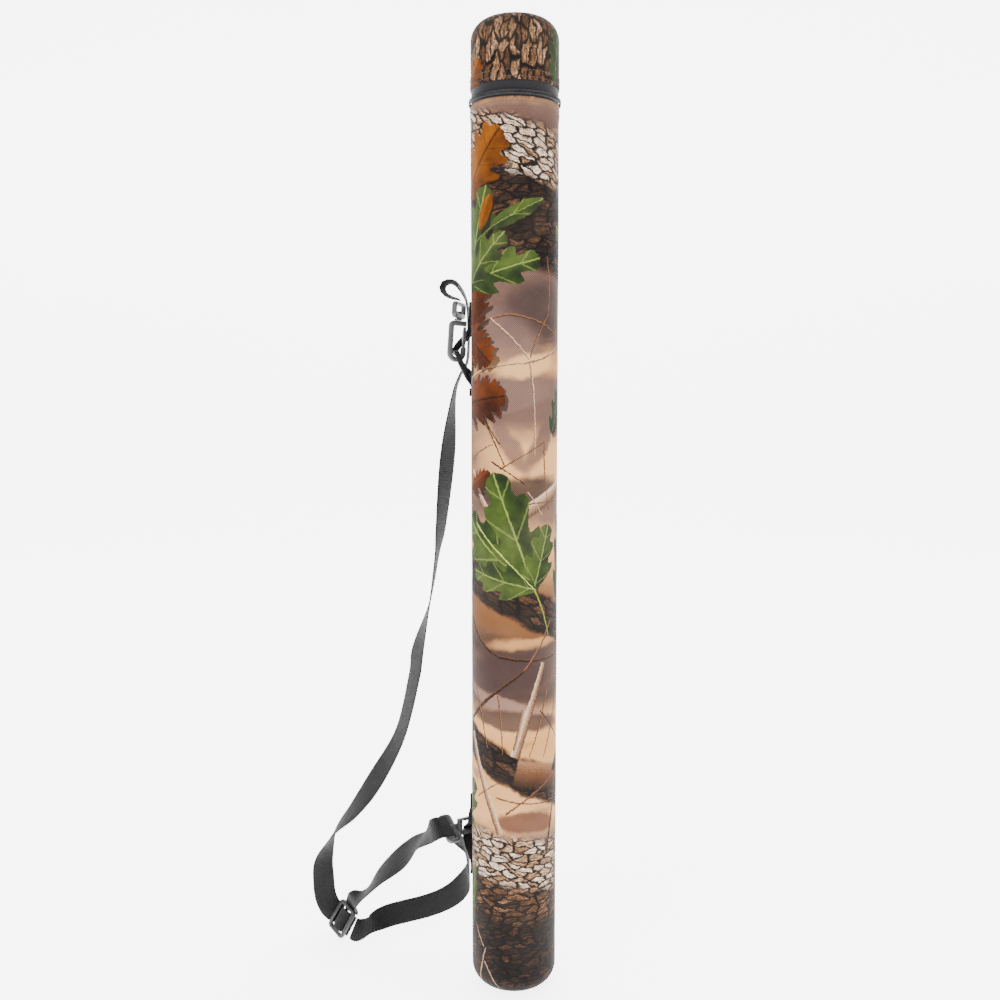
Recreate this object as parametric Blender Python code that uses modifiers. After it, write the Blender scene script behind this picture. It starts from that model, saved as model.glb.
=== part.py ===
"""Zip-capped rod case: a rigid tube in a fabric cover, with a clip-on webbing shoulder strap.

The case stands upright on its base, centred on the Z axis, base at Z = 0.
-Y is the front, +Y the back with the cap's fabric hinge, and the strap lies on the -X side.
All sizes are in metres.
"""

import math

import bmesh
import bpy
from mathutils import Matrix, Vector

MM = 0.001

# Driving dimensions of the case
CASE_RADIUS = 35.6 * MM           # outside of the fabric
CASE_LENGTH = 798.0 * MM
CAP_HEIGHT = 64.0 * MM            # from the parting line, where the zip opens, to the top
RIM_RADIUS = 16.4 * MM            # rounding of both ends of the cover
FABRIC_THICKNESS = 1.2 * MM
TUBE_WALL = 2.0 * MM
LINING_THICKNESS = 0.8 * MM
PAD_THICKNESS = 6.0 * MM
GAP = 0.3 * MM                    # between pieces that touch

# Zip
TAPE_THICKNESS = 0.7 * MM
TAPE_WIDTH_UPPER = 9.2 * MM       # visible tape above the teeth
TAPE_WIDTH_LOWER = 2.4 * MM
COIL_RADIUS = 0.85 * MM
HINGE_HALF_ANGLE = 40.0           # half of the arc without zip, at the back, in degrees
HINGE_HEIGHT = 26.0 * MM
HINGE_THICKNESS = 0.8 * MM
STOP_ARC = 2.5                    # length of a zip stop, in degrees
SLIDER_AZIMUTH = 38.0             # where the slider rests, in degrees from +X towards +Y
SLIDER_LENGTH = 10.5 * MM
SLIDER_HEIGHT = 8.0 * MM
SLIDER_DROP = 0.9 * MM            # the slider's middle sits this far below the parting line
SLIDER_WALL = 1.6 * MM
SLIDER_CLEARANCE = 0.4 * MM
CROWN_WIDTH = 2.2 * MM
CROWN_BASE = 0.6 * MM
CROWN_WALL = 1.1 * MM
CROWN_PLAY = 0.45 * MM            # round the pull tab's bar, so that it can turn
PULL_LENGTH = 26.0 * MM
PULL_WIDTH = 7.0 * MM
PULL_THICKNESS = 1.2 * MM
PULL_BAR = 1.3 * MM
PULL_SLOT = 5.2 * MM              # from the pivot to the slot's lower end

# Webbing and its fittings
WEB_WIDTH = 20.0 * MM
WEB_THICKNESS = 1.4 * MM
ANCHOR_AZIMUTH = 150.0            # the strap and its anchors stand off the cover along this line
LAID_RADIUS = 35.6 * MM           # cover radius that the strap's rows are laid against
EYE_CLEARANCE = 1.0 * MM          # between the webbing's edge and the slot's end
EYE_BAR = 2.8 * MM
EYE_HEIGHT = 13.0 * MM
EYE_BASE = 4.0 * MM
EYE_THICKNESS = 4.2 * MM
HOOK_WIDTH = 15.4 * MM
HOOK_LENGTH = 34.0 * MM
HOOK_WIRE = 4.2 * MM
HOOK_DEPTH = 4.4 * MM
GATE_WIDTH = 2.4 * MM
NOSE_HEIGHT = 11.0 * MM
SWIVEL_STEM_RADIUS = 1.7 * MM
SWIVEL_HEAD_RADIUS = 3.2 * MM
SWIVEL_HEAD_HEIGHT = 1.3 * MM
SWIVEL_COLLAR = 1.5 * MM          # between the eye and the hook
GATE_INSET = 0.6 * MM
GLIDE_THICKNESS = 3.0 * MM
GLIDE_LENGTH = 23.0 * MM
GLIDE_BAR = 3.4 * MM

TURN_STEPS = 64

# Layers, from the outside in
COVER_INNER = CASE_RADIUS - FABRIC_THICKNESS
TUBE_OUTER = COVER_INNER - GAP
TUBE_INNER = TUBE_OUTER - TUBE_WALL
LINING_OUTER = TUBE_INNER - GAP
LINING_INNER = LINING_OUTER - LINING_THICKNESS

# Fits of the cover's round ends
RIM_START = CASE_RADIUS - RIM_RADIUS              # radius where the flat end meets the rim
PANEL_RADIUS = RIM_START - GAP
PLUG_RIM = RIM_RADIUS - FABRIC_THICKNESS - GAP
SPIGOT_OUTER = TUBE_INNER - GAP
SPIGOT_INNER = SPIGOT_OUTER - TUBE_WALL

# Levels
PARTING_HEIGHT = CASE_LENGTH - CAP_HEIGHT
BODY_TOP = PARTING_HEIGHT - GAP / 2
CAP_BOTTOM = PARTING_HEIGHT + GAP / 2
COVER_TOP = BODY_TOP - TAPE_WIDTH_LOWER - GAP
CAP_COVER_BOTTOM = CAP_BOTTOM + TAPE_WIDTH_UPPER + GAP
PLUG_BOTTOM = FABRIC_THICKNESS + GAP
PLUG_TOP = 24.0 * MM
SPIGOT_LENGTH = 12.0 * MM
COIL_CENTRE = CASE_RADIUS + COIL_RADIUS + 0.1 * MM
COIL_OUTER = COIL_CENTRE + COIL_RADIUS
CROWN_FOOT = COIL_OUTER + SLIDER_CLEARANCE + SLIDER_WALL + GAP
CROWN_HOLE = PULL_THICKNESS + 2 * CROWN_PLAY
PULL_PIVOT = CROWN_FOOT + CROWN_BASE + CROWN_HOLE / 2
HINGE_RADIUS = CASE_RADIUS + GAP + HINGE_THICKNESS + GAP      # the cap turns about this line


# ---------------------------------------------------------------- tools

def clear_scene():
    for old in list(bpy.data.objects):
        bpy.data.objects.remove(old, do_unlink=True)


def collection(name):
    made = bpy.data.collections.new(name)
    bpy.context.scene.collection.children.link(made)
    return made


def material(name, colour, roughness, metallic=0.0):
    made = bpy.data.materials.new(name)
    made.use_nodes = True
    shader = made.node_tree.nodes["Principled BSDF"]
    shader.inputs["Base Color"].default_value = (*colour, 1.0)
    shader.inputs["Roughness"].default_value = roughness
    shader.inputs["Metallic"].default_value = metallic
    return made


def add_object(name, data, surface, parent=None):
    made = bpy.data.objects.new(name, data)
    PARTS.objects.link(made)
    made.data.materials.append(surface)
    made.parent = parent
    return made


def add_empty(name, location, rotation=None, parent=None):
    made = bpy.data.objects.new(name, None)
    made.empty_display_size = 0.01
    PARTS.objects.link(made)
    made.location = location
    if rotation is not None:
        made.rotation_mode = "QUATERNION"
        made.rotation_quaternion = rotation.to_quaternion()
    made.parent = parent
    return made


def smooth(mesh, angle=35.0):
    mesh.shade_smooth()
    mesh.set_sharp_from_angle(angle=math.radians(angle))


def turned(name, profile, surface, closed=True, parent=None, steps=TURN_STEPS):
    """A profile of (radius, height) points, top to bottom on the outside, turned about Z."""
    mesh = bpy.data.meshes.new(name)
    edges = [(i, i + 1) for i in range(len(profile) - 1)]
    if closed:
        edges.append((len(profile) - 1, 0))
    mesh.from_pydata([(r, 0.0, z) for r, z in profile], edges, [])
    made = add_object(name, mesh, surface, parent)
    screw = made.modifiers.new("turn", "SCREW")
    screw.axis = "Z"
    screw.angle = math.tau
    screw.steps = steps
    screw.render_steps = steps
    screw.use_merge_vertices = True
    screw.merge_threshold = 0.00001
    screw.use_smooth_shade = True
    return made


def arc(centre, radius, start, end, count):
    """Points on an arc, angles in degrees, both ends included."""
    turn = [math.radians(start + (end - start) * i / count) for i in range(count + 1)]
    return [(centre[0] + radius * math.cos(a), centre[1] + radius * math.sin(a)) for a in turn]


def outline_object(name, outlines, thickness, surface, parent=None):
    """A flat plate in the local XY plane, from one outer outline and any holes."""
    curve = bpy.data.curves.new(name, "CURVE")
    curve.dimensions = "2D"
    curve.fill_mode = "BOTH"
    curve.extrude = thickness / 2
    for points in outlines:
        spline = curve.splines.new("POLY")
        spline.points.add(len(points) - 1)
        for place, (x, y) in zip(spline.points, points):
            place.co = (x, y, 0.0, 1.0)
        spline.use_cyclic_u = True
    return add_object(name, curve, surface, parent)


def to_mesh(made):
    """Turn a curve object into a mesh object with welded caps."""
    bpy.context.view_layer.update()
    graph = bpy.context.evaluated_depsgraph_get()
    mesh = bpy.data.meshes.new_from_object(made.evaluated_get(graph))
    shell = bmesh.new()
    shell.from_mesh(mesh)
    bmesh.ops.remove_doubles(shell, verts=shell.verts, dist=0.000005)
    shell.to_mesh(mesh)
    shell.free()
    name, parent, place, surface = made.name, made.parent, made.matrix_basis.copy(), made.data.materials[0]
    bpy.data.objects.remove(made, do_unlink=True)
    solid = bpy.data.objects.new(name, mesh)
    PARTS.objects.link(solid)
    if not mesh.materials:
        mesh.materials.append(surface)
    solid.parent = parent
    solid.matrix_basis = place
    return solid


def rounded_box(width, height, radius, count=4):
    """Outline of a rounded rectangle centred on the origin."""
    x, y = width / 2 - radius, height / 2 - radius
    points = []
    for sx, sy, start in ((1, 1, 0), (-1, 1, 90), (-1, -1, 180), (1, -1, 270)):
        points += arc((sx * x, sy * y), radius, start, start + 90, count)
    return points


def thick_path(points, half):
    """Outline of a path of constant width with round ends."""
    left, right = [], []
    for i, (x, y) in enumerate(points):
        ax, ay = points[max(i - 1, 0)]
        bx, by = points[min(i + 1, len(points) - 1)]
        length = math.hypot(bx - ax, by - ay)
        nx, ny = -(by - ay) / length, (bx - ax) / length
        left.append((x + nx * half, y + ny * half))
        right.append((x - nx * half, y - ny * half))
    return left + right[::-1]


def ring_sector(name, inner, outer, low, high, start, end, surface, parent=None, count=48):
    """A curved plate: part of a ring between two radii, two heights and two azimuths."""
    points = arc((0, 0), outer, start, end, count) + arc((0, 0), inner, end, start, count)
    made = outline_object(name, [points], high - low, surface, parent)
    made.location = (0.0, 0.0, (low + high) / 2)
    return made


def frame_of(up, side):
    """Rotation with local Z along up and local X near side."""
    z = Vector(up).normalized()
    x = (Vector(side) - Vector(side).dot(z) * z).normalized()
    return Matrix((x, z.cross(x), z)).transposed()


def smooth_route(rows, spacing):
    """Points and across vectors on one smooth curve through the rows of a hand-laid route.

    Each row is ((x, y, z), (across x, y, z), width factor, thickness factor), in millimetres.
    """
    keys = [[*Vector(p) * MM, *Vector(a).normalized(), w, t] for p, a, w, t in rows]
    keys = [[2 * a - b for a, b in zip(keys[0], keys[1])]] + keys
    keys += [[2 * a - b for a, b in zip(keys[-1], keys[-2])]]
    out = []
    for i in range(1, len(keys) - 2):
        span = math.dist(keys[i][:3], keys[i + 1][:3])
        count = max(1, round(span / spacing))
        for step in range(count):
            u = step / count
            out.append([catmull(keys[i - 1][k], keys[i][k], keys[i + 1][k], keys[i + 2][k], u)
                        for k in range(8)])
    out.append(keys[-2])
    return out


def catmull(a, b, c, d, u):
    return b + 0.5 * u * (c - a + u * (2 * a - 5 * b + 4 * c - d + u * (3 * (b - c) + d - a)))


def webbing(name, rows, parent, spacing=10.0 * MM):
    """A band of webbing lofted along a route, turning as its across vectors say."""
    places = smooth_route(rows, spacing)
    band = bmesh.new()
    rings = []
    for i, row in enumerate(places):
        before, after = places[max(i - 1, 0)], places[min(i + 1, len(places) - 1)]
        along = (Vector(after[:3]) - Vector(before[:3])).normalized()
        across = Vector(row[3:6])
        across = (across - across.dot(along) * along).normalized()
        normal = along.cross(across)
        half_w = WEB_WIDTH / 2 * row[6]
        half_t = WEB_THICKNESS / 2 * row[7]
        corners = ((-1, -0.6), (-0.97, -1), (0.97, -1), (1, -0.6),
                   (1, 0.6), (0.97, 1), (-0.97, 1), (-1, 0.6))
        rings.append([band.verts.new(Vector(row[:3]) + across * half_w * a + normal * half_t * b)
                      for a, b in corners])
    for first, second in zip(rings, rings[1:]):
        for k in range(len(first)):
            j = (k + 1) % len(first)
            band.faces.new((first[k], second[k], second[j], first[j]))
    band.faces.new(rings[0])
    band.faces.new(rings[-1][::-1])
    bmesh.ops.recalc_face_normals(band, faces=band.faces)
    mesh = bpy.data.meshes.new(name)
    band.to_mesh(mesh)
    band.free()
    smooth(mesh)
    return add_object(name, mesh, WEB, parent)


# ---------------------------------------------------------------- case

def disc(radius, low, high):
    return [(0.0, high), (radius, high), (radius, low), (0.0, low)]


def ring(inner, outer, low, high):
    return [(outer, high), (outer, low), (inner, low), (inner, high)]


def cover_profile(edge):
    """Fabric shell from its edge at height edge, down round the rim to the end disc's hole."""
    centre = (RIM_START, RIM_RADIUS)
    return [(CASE_RADIUS, edge), *arc(centre, RIM_RADIUS, 0, -90, 7),
            *arc(centre, RIM_RADIUS - FABRIC_THICKNESS, -90, 0, 7), (COVER_INNER, edge)]


def inner_rim(inner, rim):
    """Arc inside a moulded end, from the axis side up to the wall, whose inside radius is given."""
    centre = (inner - rim, PLUG_BOTTOM + TUBE_WALL + rim)
    return arc(centre, rim, -90, 0, 5)


def outer_rim():
    """Arc outside a moulded end, from the wall down to the flat."""
    return arc((TUBE_OUTER - PLUG_RIM, PLUG_BOTTOM + PLUG_RIM), PLUG_RIM, 0, -90, 6)


def upended(profile):
    """The same profile at the top end of the case."""
    return [(r, CASE_LENGTH - z) for r, z in reversed(profile)]


def build_case():
    turned("body_cover", cover_profile(COVER_TOP), CAMO)
    turned("base_panel", disc(PANEL_RADIUS, 0.0, FABRIC_THICKNESS), CAMO, closed=False)
    rim = PLUG_RIM - TUBE_WALL
    floor = PLUG_BOTTOM + TUBE_WALL
    turned("base_plug", [
        (0.0, floor), *inner_rim(SPIGOT_INNER, rim),
        (SPIGOT_INNER, PLUG_TOP + SPIGOT_LENGTH), (SPIGOT_OUTER, PLUG_TOP + SPIGOT_LENGTH),
        (SPIGOT_OUTER, PLUG_TOP), (TUBE_OUTER, PLUG_TOP), *outer_rim(), (0.0, PLUG_BOTTOM)],
        PLASTIC, closed=False)
    turned("base_pad", disc(SPIGOT_INNER - rim, floor + GAP, floor + GAP + PAD_THICKNESS), FOAM,
           closed=False)
    turned("liner_tube", ring(TUBE_INNER, TUBE_OUTER, PLUG_TOP + GAP, BODY_TOP), PLASTIC)
    lining_bottom = PLUG_TOP + SPIGOT_LENGTH + GAP
    turned("inner_lining", ring(LINING_INNER, LINING_OUTER, lining_bottom, BODY_TOP), LINING)


def build_cap(cap):
    turned("cap_cover", upended(cover_profile(CASE_LENGTH - CAP_COVER_BOTTOM)), CAMO, parent=cap)
    turned("cap_top_panel", disc(PANEL_RADIUS, CASE_LENGTH - FABRIC_THICKNESS, CASE_LENGTH), CAMO,
           closed=False, parent=cap)
    rim = PLUG_RIM - TUBE_WALL
    edge = CASE_LENGTH - CAP_BOTTOM
    floor = PLUG_BOTTOM + TUBE_WALL
    turned("cap_shell", upended([
        (0.0, floor), *inner_rim(TUBE_INNER, rim), (TUBE_INNER, edge), (TUBE_OUTER, edge),
        *outer_rim(), (0.0, PLUG_BOTTOM)]), PLASTIC, closed=False, parent=cap)
    turned("cap_pad", upended(disc(TUBE_INNER - rim, floor + GAP, floor + GAP + PAD_THICKNESS)),
           FOAM, closed=False, parent=cap)
    lining_top = CASE_LENGTH - PLUG_BOTTOM - PLUG_RIM - GAP
    turned("cap_lining", ring(LINING_INNER, LINING_OUTER, CAP_BOTTOM, lining_top), LINING, parent=cap)


# ---------------------------------------------------------------- zip

def coil(name, height, surface, parent=None):
    """One half of the zip's teeth, drawn as a smooth bead round the zip's arc."""
    curve = bpy.data.curves.new(name, "CURVE")
    curve.dimensions = "3D"
    curve.bevel_depth = COIL_RADIUS
    curve.bevel_resolution = 1
    curve.use_fill_caps = True
    curve.resolution_u = 1
    start, end = zip_arc(STOP_ARC + 0.5)
    points = arc((0, 0), COIL_CENTRE, start, end, 60)
    spline = curve.splines.new("POLY")
    spline.points.add(len(points) - 1)
    for place, (x, y) in zip(spline.points, points):
        place.co = (x, y, 0.0, 1.0)
    made = add_object(name, curve, surface, parent)
    made.location = (0.0, 0.0, height)
    return to_mesh(made)


def zip_arc(margin=0.0):
    """Azimuths of the zip's two ends, from the hinge's right side round the front to its left."""
    return 90.0 - HINGE_HALF_ANGLE - margin, -270.0 + HINGE_HALF_ANGLE + margin


def build_zip(cap, slider):
    tape_outer = COVER_INNER + TAPE_THICKNESS
    start, end = zip_arc()
    ring_sector("zip_tape_lower", COVER_INNER, tape_outer, COVER_TOP + GAP, BODY_TOP, start, end, TAPE)
    ring_sector("zip_tape_upper", COVER_INNER, tape_outer, CAP_BOTTOM, CAP_COVER_BOTTOM - GAP,
                start, end, TAPE, parent=cap)
    coil("zip_coil_lower", PARTING_HEIGHT - GAP / 2 - COIL_RADIUS, TEETH)
    coil("zip_coil_upper", PARTING_HEIGHT + GAP / 2 + COIL_RADIUS, TEETH, parent=cap)
    for name, at in (("zip_stop_closed", start - STOP_ARC), ("zip_stop_open", end)):
        ring_sector(name, tape_outer + GAP, COIL_OUTER, COVER_TOP + 2 * GAP, BODY_TOP,
                    at, at + STOP_ARC, TEETH, count=3)
    hinge_inner = CASE_RADIUS + GAP
    ring_sector("hinge_panel", hinge_inner, hinge_inner + HINGE_THICKNESS, BODY_TOP - HINGE_HEIGHT,
                BODY_TOP, 90.0 - HINGE_HALF_ANGLE + STOP_ARC, 90.0 + HINGE_HALF_ANGLE - STOP_ARC,
                CAMO, count=20)
    build_slider(slider)


def build_slider(slider):
    """Slider and crown in a frame whose +X points out through the slider from the case's axis."""
    inner = COIL_OUTER + SLIDER_CLEARANCE
    outer = inner + SLIDER_WALL
    half_height = SLIDER_HEIGHT / 2
    lip_top = SLIDER_DROP - 2 * COIL_RADIUS - GAP / 2 - SLIDER_CLEARANCE
    lip_inner = CASE_RADIUS + GAP
    profile = [(lip_inner, -half_height), (outer, -half_height), (outer, half_height),
               (inner, half_height), (inner, lip_top), (lip_inner, lip_top)]
    body = outline_object("zip_slider", [profile], SLIDER_LENGTH, METAL, parent=slider)
    body.rotation_euler = (math.radians(90), 0.0, 0.0)
    half = half_height - 1.0 * MM
    corner = 1.5 * MM
    reach = CROWN_FOOT + CROWN_BASE + CROWN_HOLE + CROWN_WALL
    arch = [(CROWN_FOOT, -half), *arc((reach - corner, -half + corner), corner, -90, 0, 3),
            *arc((reach - corner, half - corner), corner, 0, 90, 3), (CROWN_FOOT, half)]
    low, high = CROWN_FOOT + CROWN_BASE, reach - CROWN_WALL
    hole = [(low, CROWN_WALL - half), (high, CROWN_WALL - half), (high, half - CROWN_WALL),
            (low, half - CROWN_WALL)]
    crown = outline_object("zip_slider_crown", [arch, hole], CROWN_WIDTH, METAL, parent=slider)
    crown.rotation_euler = (math.radians(90), 0.0, 0.0)


def build_pull(pull):
    """Pull tab hanging from its pivot, its slot straddling the crown."""
    half = PULL_WIDTH / 2
    top = PULL_BAR / 2
    outer = [(-half, top), *arc((0.0, half - PULL_LENGTH), half, 180, 360, 8), (half, top)]
    slot_half = CROWN_WIDTH / 2 + 2 * GAP
    slot = [(-slot_half, -top), (-slot_half, -PULL_SLOT), (slot_half, -PULL_SLOT), (slot_half, -top)]
    tab = outline_object("zip_pull_tab", [outer, slot], PULL_THICKNESS, METAL, parent=pull)
    tab.rotation_euler = (math.radians(90), 0.0, math.radians(90))


# ---------------------------------------------------------------- hooks

def build_hook(prefix, origin, up, side, eye_turn, parent):
    """Swivel snap hook: local Z points up through the eye, local X towards the gate."""
    frame = add_empty(prefix + "_hook_frame", Vector(origin) * MM, frame_of(up, side), parent)
    build_eye(prefix, frame, eye_turn)
    build_hook_body(prefix, frame)


def build_eye(prefix, frame, eye_turn):
    slot = WEB_WIDTH + 2 * EYE_CLEARANCE
    width = slot + 2 * EYE_BAR
    window = EYE_HEIGHT - EYE_BASE - EYE_BAR
    outer = [(x, y + EYE_HEIGHT / 2) for x, y in rounded_box(width, EYE_HEIGHT, 3.0 * MM)]
    middle = EYE_BASE + window / 2
    hole = [(x, y + middle) for x, y in rounded_box(slot, window, 1.0 * MM, 2)]
    eye = outline_object(prefix + "_hook_eye", [outer, hole], EYE_THICKNESS, NYLON, parent=frame)
    eye.rotation_euler = (math.radians(90), 0.0, math.radians(eye_turn))
    eye = to_mesh(eye)
    drill = add_cutter(prefix + "_eye_bore", SWIVEL_STEM_RADIUS + GAP, EYE_BASE * 1.5, frame)
    cut = eye.modifiers.new("bore", "BOOLEAN")
    cut.operation = "DIFFERENCE"
    cut.solver = "EXACT"
    cut.object = drill
    rivet = SWIVEL_STEM_RADIUS
    head = SWIVEL_HEAD_RADIUS
    seat = EYE_BASE + GAP
    crest = seat + SWIVEL_HEAD_HEIGHT
    collar = -GAP - SWIVEL_COLLAR
    turned(prefix + "_hook_swivel", [
        (0.0, crest), (head * 0.6, crest), (head, seat + SWIVEL_HEAD_HEIGHT / 2), (head, seat),
        (rivet, seat), (rivet, -GAP), (head, -GAP), (head, collar), (0.0, collar)],
        NYLON, closed=False, parent=frame, steps=20)


def add_cutter(name, radius, height, parent):
    mesh = bpy.data.meshes.new(name)
    form = bmesh.new()
    bmesh.ops.create_cone(form, cap_ends=True, segments=20, radius1=radius, radius2=radius,
                          depth=2 * height)
    form.to_mesh(mesh)
    form.free()
    cutter = bpy.data.objects.new(name, mesh)
    CUTTERS.objects.link(cutter)
    cutter.parent = parent
    cutter.hide_render = True
    cutter.display_type = "WIRE"
    return cutter


def build_hook_body(prefix, frame):
    """Hook: back, round foot and nose in one piece; the gate closes from the shoulder to the nose."""
    half = HOOK_WIRE / 2
    top = -SWIVEL_COLLAR - 2 * GAP
    bottom = top - HOOK_LENGTH
    back = -HOOK_WIDTH / 2 + half
    gate = HOOK_WIDTH / 2 - GATE_WIDTH / 2 - GATE_INSET
    shoulder = top - half
    foot_radius = (gate - back) / 2
    foot_centre = (back + foot_radius, bottom + half + foot_radius)
    path = [(gate, shoulder), (0.0, shoulder), *arc((back + half, shoulder - half), half, 90, 180, 3),
            *arc(foot_centre, foot_radius, 180, 360, 10), (gate, bottom + NOSE_HEIGHT)]
    body = outline_object(prefix + "_hook_body", [thick_path(path, half)], HOOK_DEPTH, NYLON,
                          parent=frame)
    body.rotation_euler = (math.radians(90), 0.0, 0.0)
    pivot = shoulder - half - GAP - GATE_WIDTH / 2
    hinge = add_empty(prefix + "_gate_pivot", (gate, 0.0, pivot), parent=frame)
    length = pivot - (bottom + NOSE_HEIGHT + GAP)
    reach = GATE_WIDTH / 2
    bar = [*arc((0.0, 0.0), reach, 0, 180, 6), (-reach, -length), (reach, -length)]
    lever = outline_object(prefix + "_hook_gate", [bar], HOOK_DEPTH * 0.7, NYLON, parent=hinge)
    lever.rotation_euler = (math.radians(90), 0.0, 0.0)


# ---------------------------------------------------------------- strap

GLIDE_CENTRE = (-159.0, 72.0, 16.2)
GLIDE_ACROSS = (0.48, 0.05, 0.88)       # along its bars, as the webbing's width lies
GLIDE_ALONG = (0.76, -0.65, 0.0)        # the way the webbing passes through

ANCHOR_UPPER = [
    ((-32.4, 18.7, 500), (0.5, 0.866, 0), 1, 1),
    ((-32.4, 18.7, 510), (0.5, 0.866, 0), 1, 1),
    ((-37.4, 12.5, 517), (0.45, 0.89, 0.1), 0.6, 1.6),
    ((-41.5, 5.0, 523), (0.6, 0.6, 0.5), 0.3, 2.4),
    ((-45.0, 2.0, 529.5), (0.8, 0.3, 0.3), 0.25, 2.6),
    ((-46.9, 3.0, 534.8), (0.94, 0.34, 0.1), 0.22, 2.4),
    ((-48.0, 8.0, 536.2), (0.94, 0.34, 0.1), 0.22, 2.4),
    ((-49.3, 12.6, 537.6), (0.94, 0.34, 0.1), 0.25, 2.4),
    ((-46.5, 16.0, 543.0), (0.9, 0.5, 0.1), 0.3, 2.4),
    ((-38.2, 17.8, 552), (0.6, 0.8, 0), 0.4, 2.0),
    ((-34.2, 20.0, 560), (0.5, 0.866, 0), 1, 1),
    ((-32.4, 18.7, 568), (0.5, 0.866, 0), 1, 1),
    ((-32.4, 18.7, 578), (0.5, 0.866, 0), 1, 1)]

ANCHOR_LOWER = [
    ((-32.4, 18.7, 88), (0.5, 0.866, 0), 1, 1),
    ((-32.4, 18.7, 98), (0.5, 0.866, 0), 1, 1),
    ((-34.6, 24.9, 108), (0.72, 0.69, 0), 1, 1),
    ((-36.0, 29.0, 116), (0.84, 0.54, 0), 1, 1),
    ((-36.0, 29.2, 121), (0.84, 0.54, 0), 1, 1),
    ((-35.4, 28.2, 124.8), (0.84, 0.54, 0), 1, 1),
    ((-33.8, 25.8, 127.2), (0.84, 0.54, 0), 1, 1),
    ((-32.2, 23.4, 129.8), (0.84, 0.54, 0), 1, 1),
    ((-32.2, 22.6, 133.8), (0.78, 0.63, 0), 1, 1),
    ((-33.0, 21.4, 141), (0.60, 0.80, 0), 1, 1),
    ((-32.4, 18.7, 149), (0.5, 0.866, 0), 1, 1),
    ((-32.4, 18.7, 159), (0.5, 0.866, 0), 1, 1)]

STRAP_MAIN = [
    ((-45.4, 8.4, 579.4), (0.25, 0.97, 0), 1, 1),
    ((-49.3, 8.8, 580.6), (0.25, 0.96, 0.1), 1, 1),
    ((-54.0, 10.0, 582.6), (0.25, 0.95, 0.1), 1, 1),
    ((-57.3, 12.3, 586.5), (0.2, 0.95, 0.15), 1, 1),
    ((-57.0, 15.3, 591.0), (0.15, 0.95, 0.2), 1, 1),
    ((-53.2, 18.8, 593.8), (0.12, 0.95, 0.25), 1, 1),
    ((-48.2, 22.8, 592.8), (0.1, 0.95, 0.25), 1, 1),
    ((-43.6, 27.6, 588.0), (0.08, 0.98, 0.15), 1, 1),
    ((-40.2, 31.8, 580.0), (0.05, 1, 0.05), 1, 1),
    ((-38.7, 33.0, 566.0), (0.05, 1, 0), 1, 1),
    ((-39.4, 32.8, 532.0), (0.05, 1, 0), 1, 1),
    ((-46.0, 33.0, 518.0), (0.05, 1, 0), 1, 1),
    ((-51.7, 34.0, 499.0), (0.15, 1, 0), 1, 1),
    ((-57.2, 37.0, 448.4), (0.60, 0.8, 0), 1, 1),
    ((-63.4, 42.0, 387.9), (0.40, 0.92, 0), 1, 1),
    ((-66.9, 44.0, 362.9), (0.15, 1, 0), 1, 1),
    ((-74.2, 48.0, 317.8), (-0.05, 1, 0), 1, 1),
    ((-85.2, 54.0, 275.0), (-0.55, 0.82, 0), 1, 1),
    ((-89.2, 57.0, 248.7), (-0.55, 0.85, 0), 1, 1),
    ((-102.7, 63.0, 195.3), (-0.5, 0.85, 0.1), 1, 1),
    ((-126.4, 67.0, 150.8), (-0.65, 0.7, 0.35), 1, 1),
    ((-146.0, 70.5, 122.0), (-0.45, 0.85, 0.2), 1, 1),
    ((-164.8, 74.0, 99.7), (0.0, 1.0, 0.0), 1, 1),
    ((-176.0, 78.0, 72.0), (0.75, 0.65, 0.0), 1, 1),
    ((-177.0, 80.0, 50.0), (0.93, 0.35, 0.1), 1, 1),
    ((-175.5, 82.5, 32.0), (0.85, 0.25, 0.45), 1, 1),
    ((-169.7, 84.9, 17.9), (0.48, 0.05, 0.88), 1, 1),
    ((-165.4, 82.7, 18.4), (0.48, 0.05, 0.88), 1, 1),
    ((-162.7, 80.2, 17.7), (0.48, 0.05, 0.88), 1, 1),
    ((-161.9, 77.8, 17.4), (0.48, 0.05, 0.88), 1, 1),
    ((-162.1, 75.5, 17.7), (0.48, 0.05, 0.88), 1, 1),
    ((-162.4, 73.2, 18.0), (0.48, 0.05, 0.88), 1, 1),
    ((-161.7, 71.2, 17.7), (0.48, 0.05, 0.88), 1, 1),
    ((-159.6, 69.0, 16.7), (0.48, 0.05, 0.88), 1, 1),
    ((-157.9, 68.1, 15.8), (0.48, 0.05, 0.88), 1, 1),
    ((-155.9, 68.5, 14.7), (0.48, 0.05, 0.88), 1, 1),
    ((-153.8, 68.9, 13.6), (0.48, 0.05, 0.88), 1, 1),
    ((-151.7, 68.0, 12.4), (0.48, 0.05, 0.88), 1, 1),
    ((-149.4, 65.4, 11.3), (0.48, 0.05, 0.88), 1, 1)]

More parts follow.
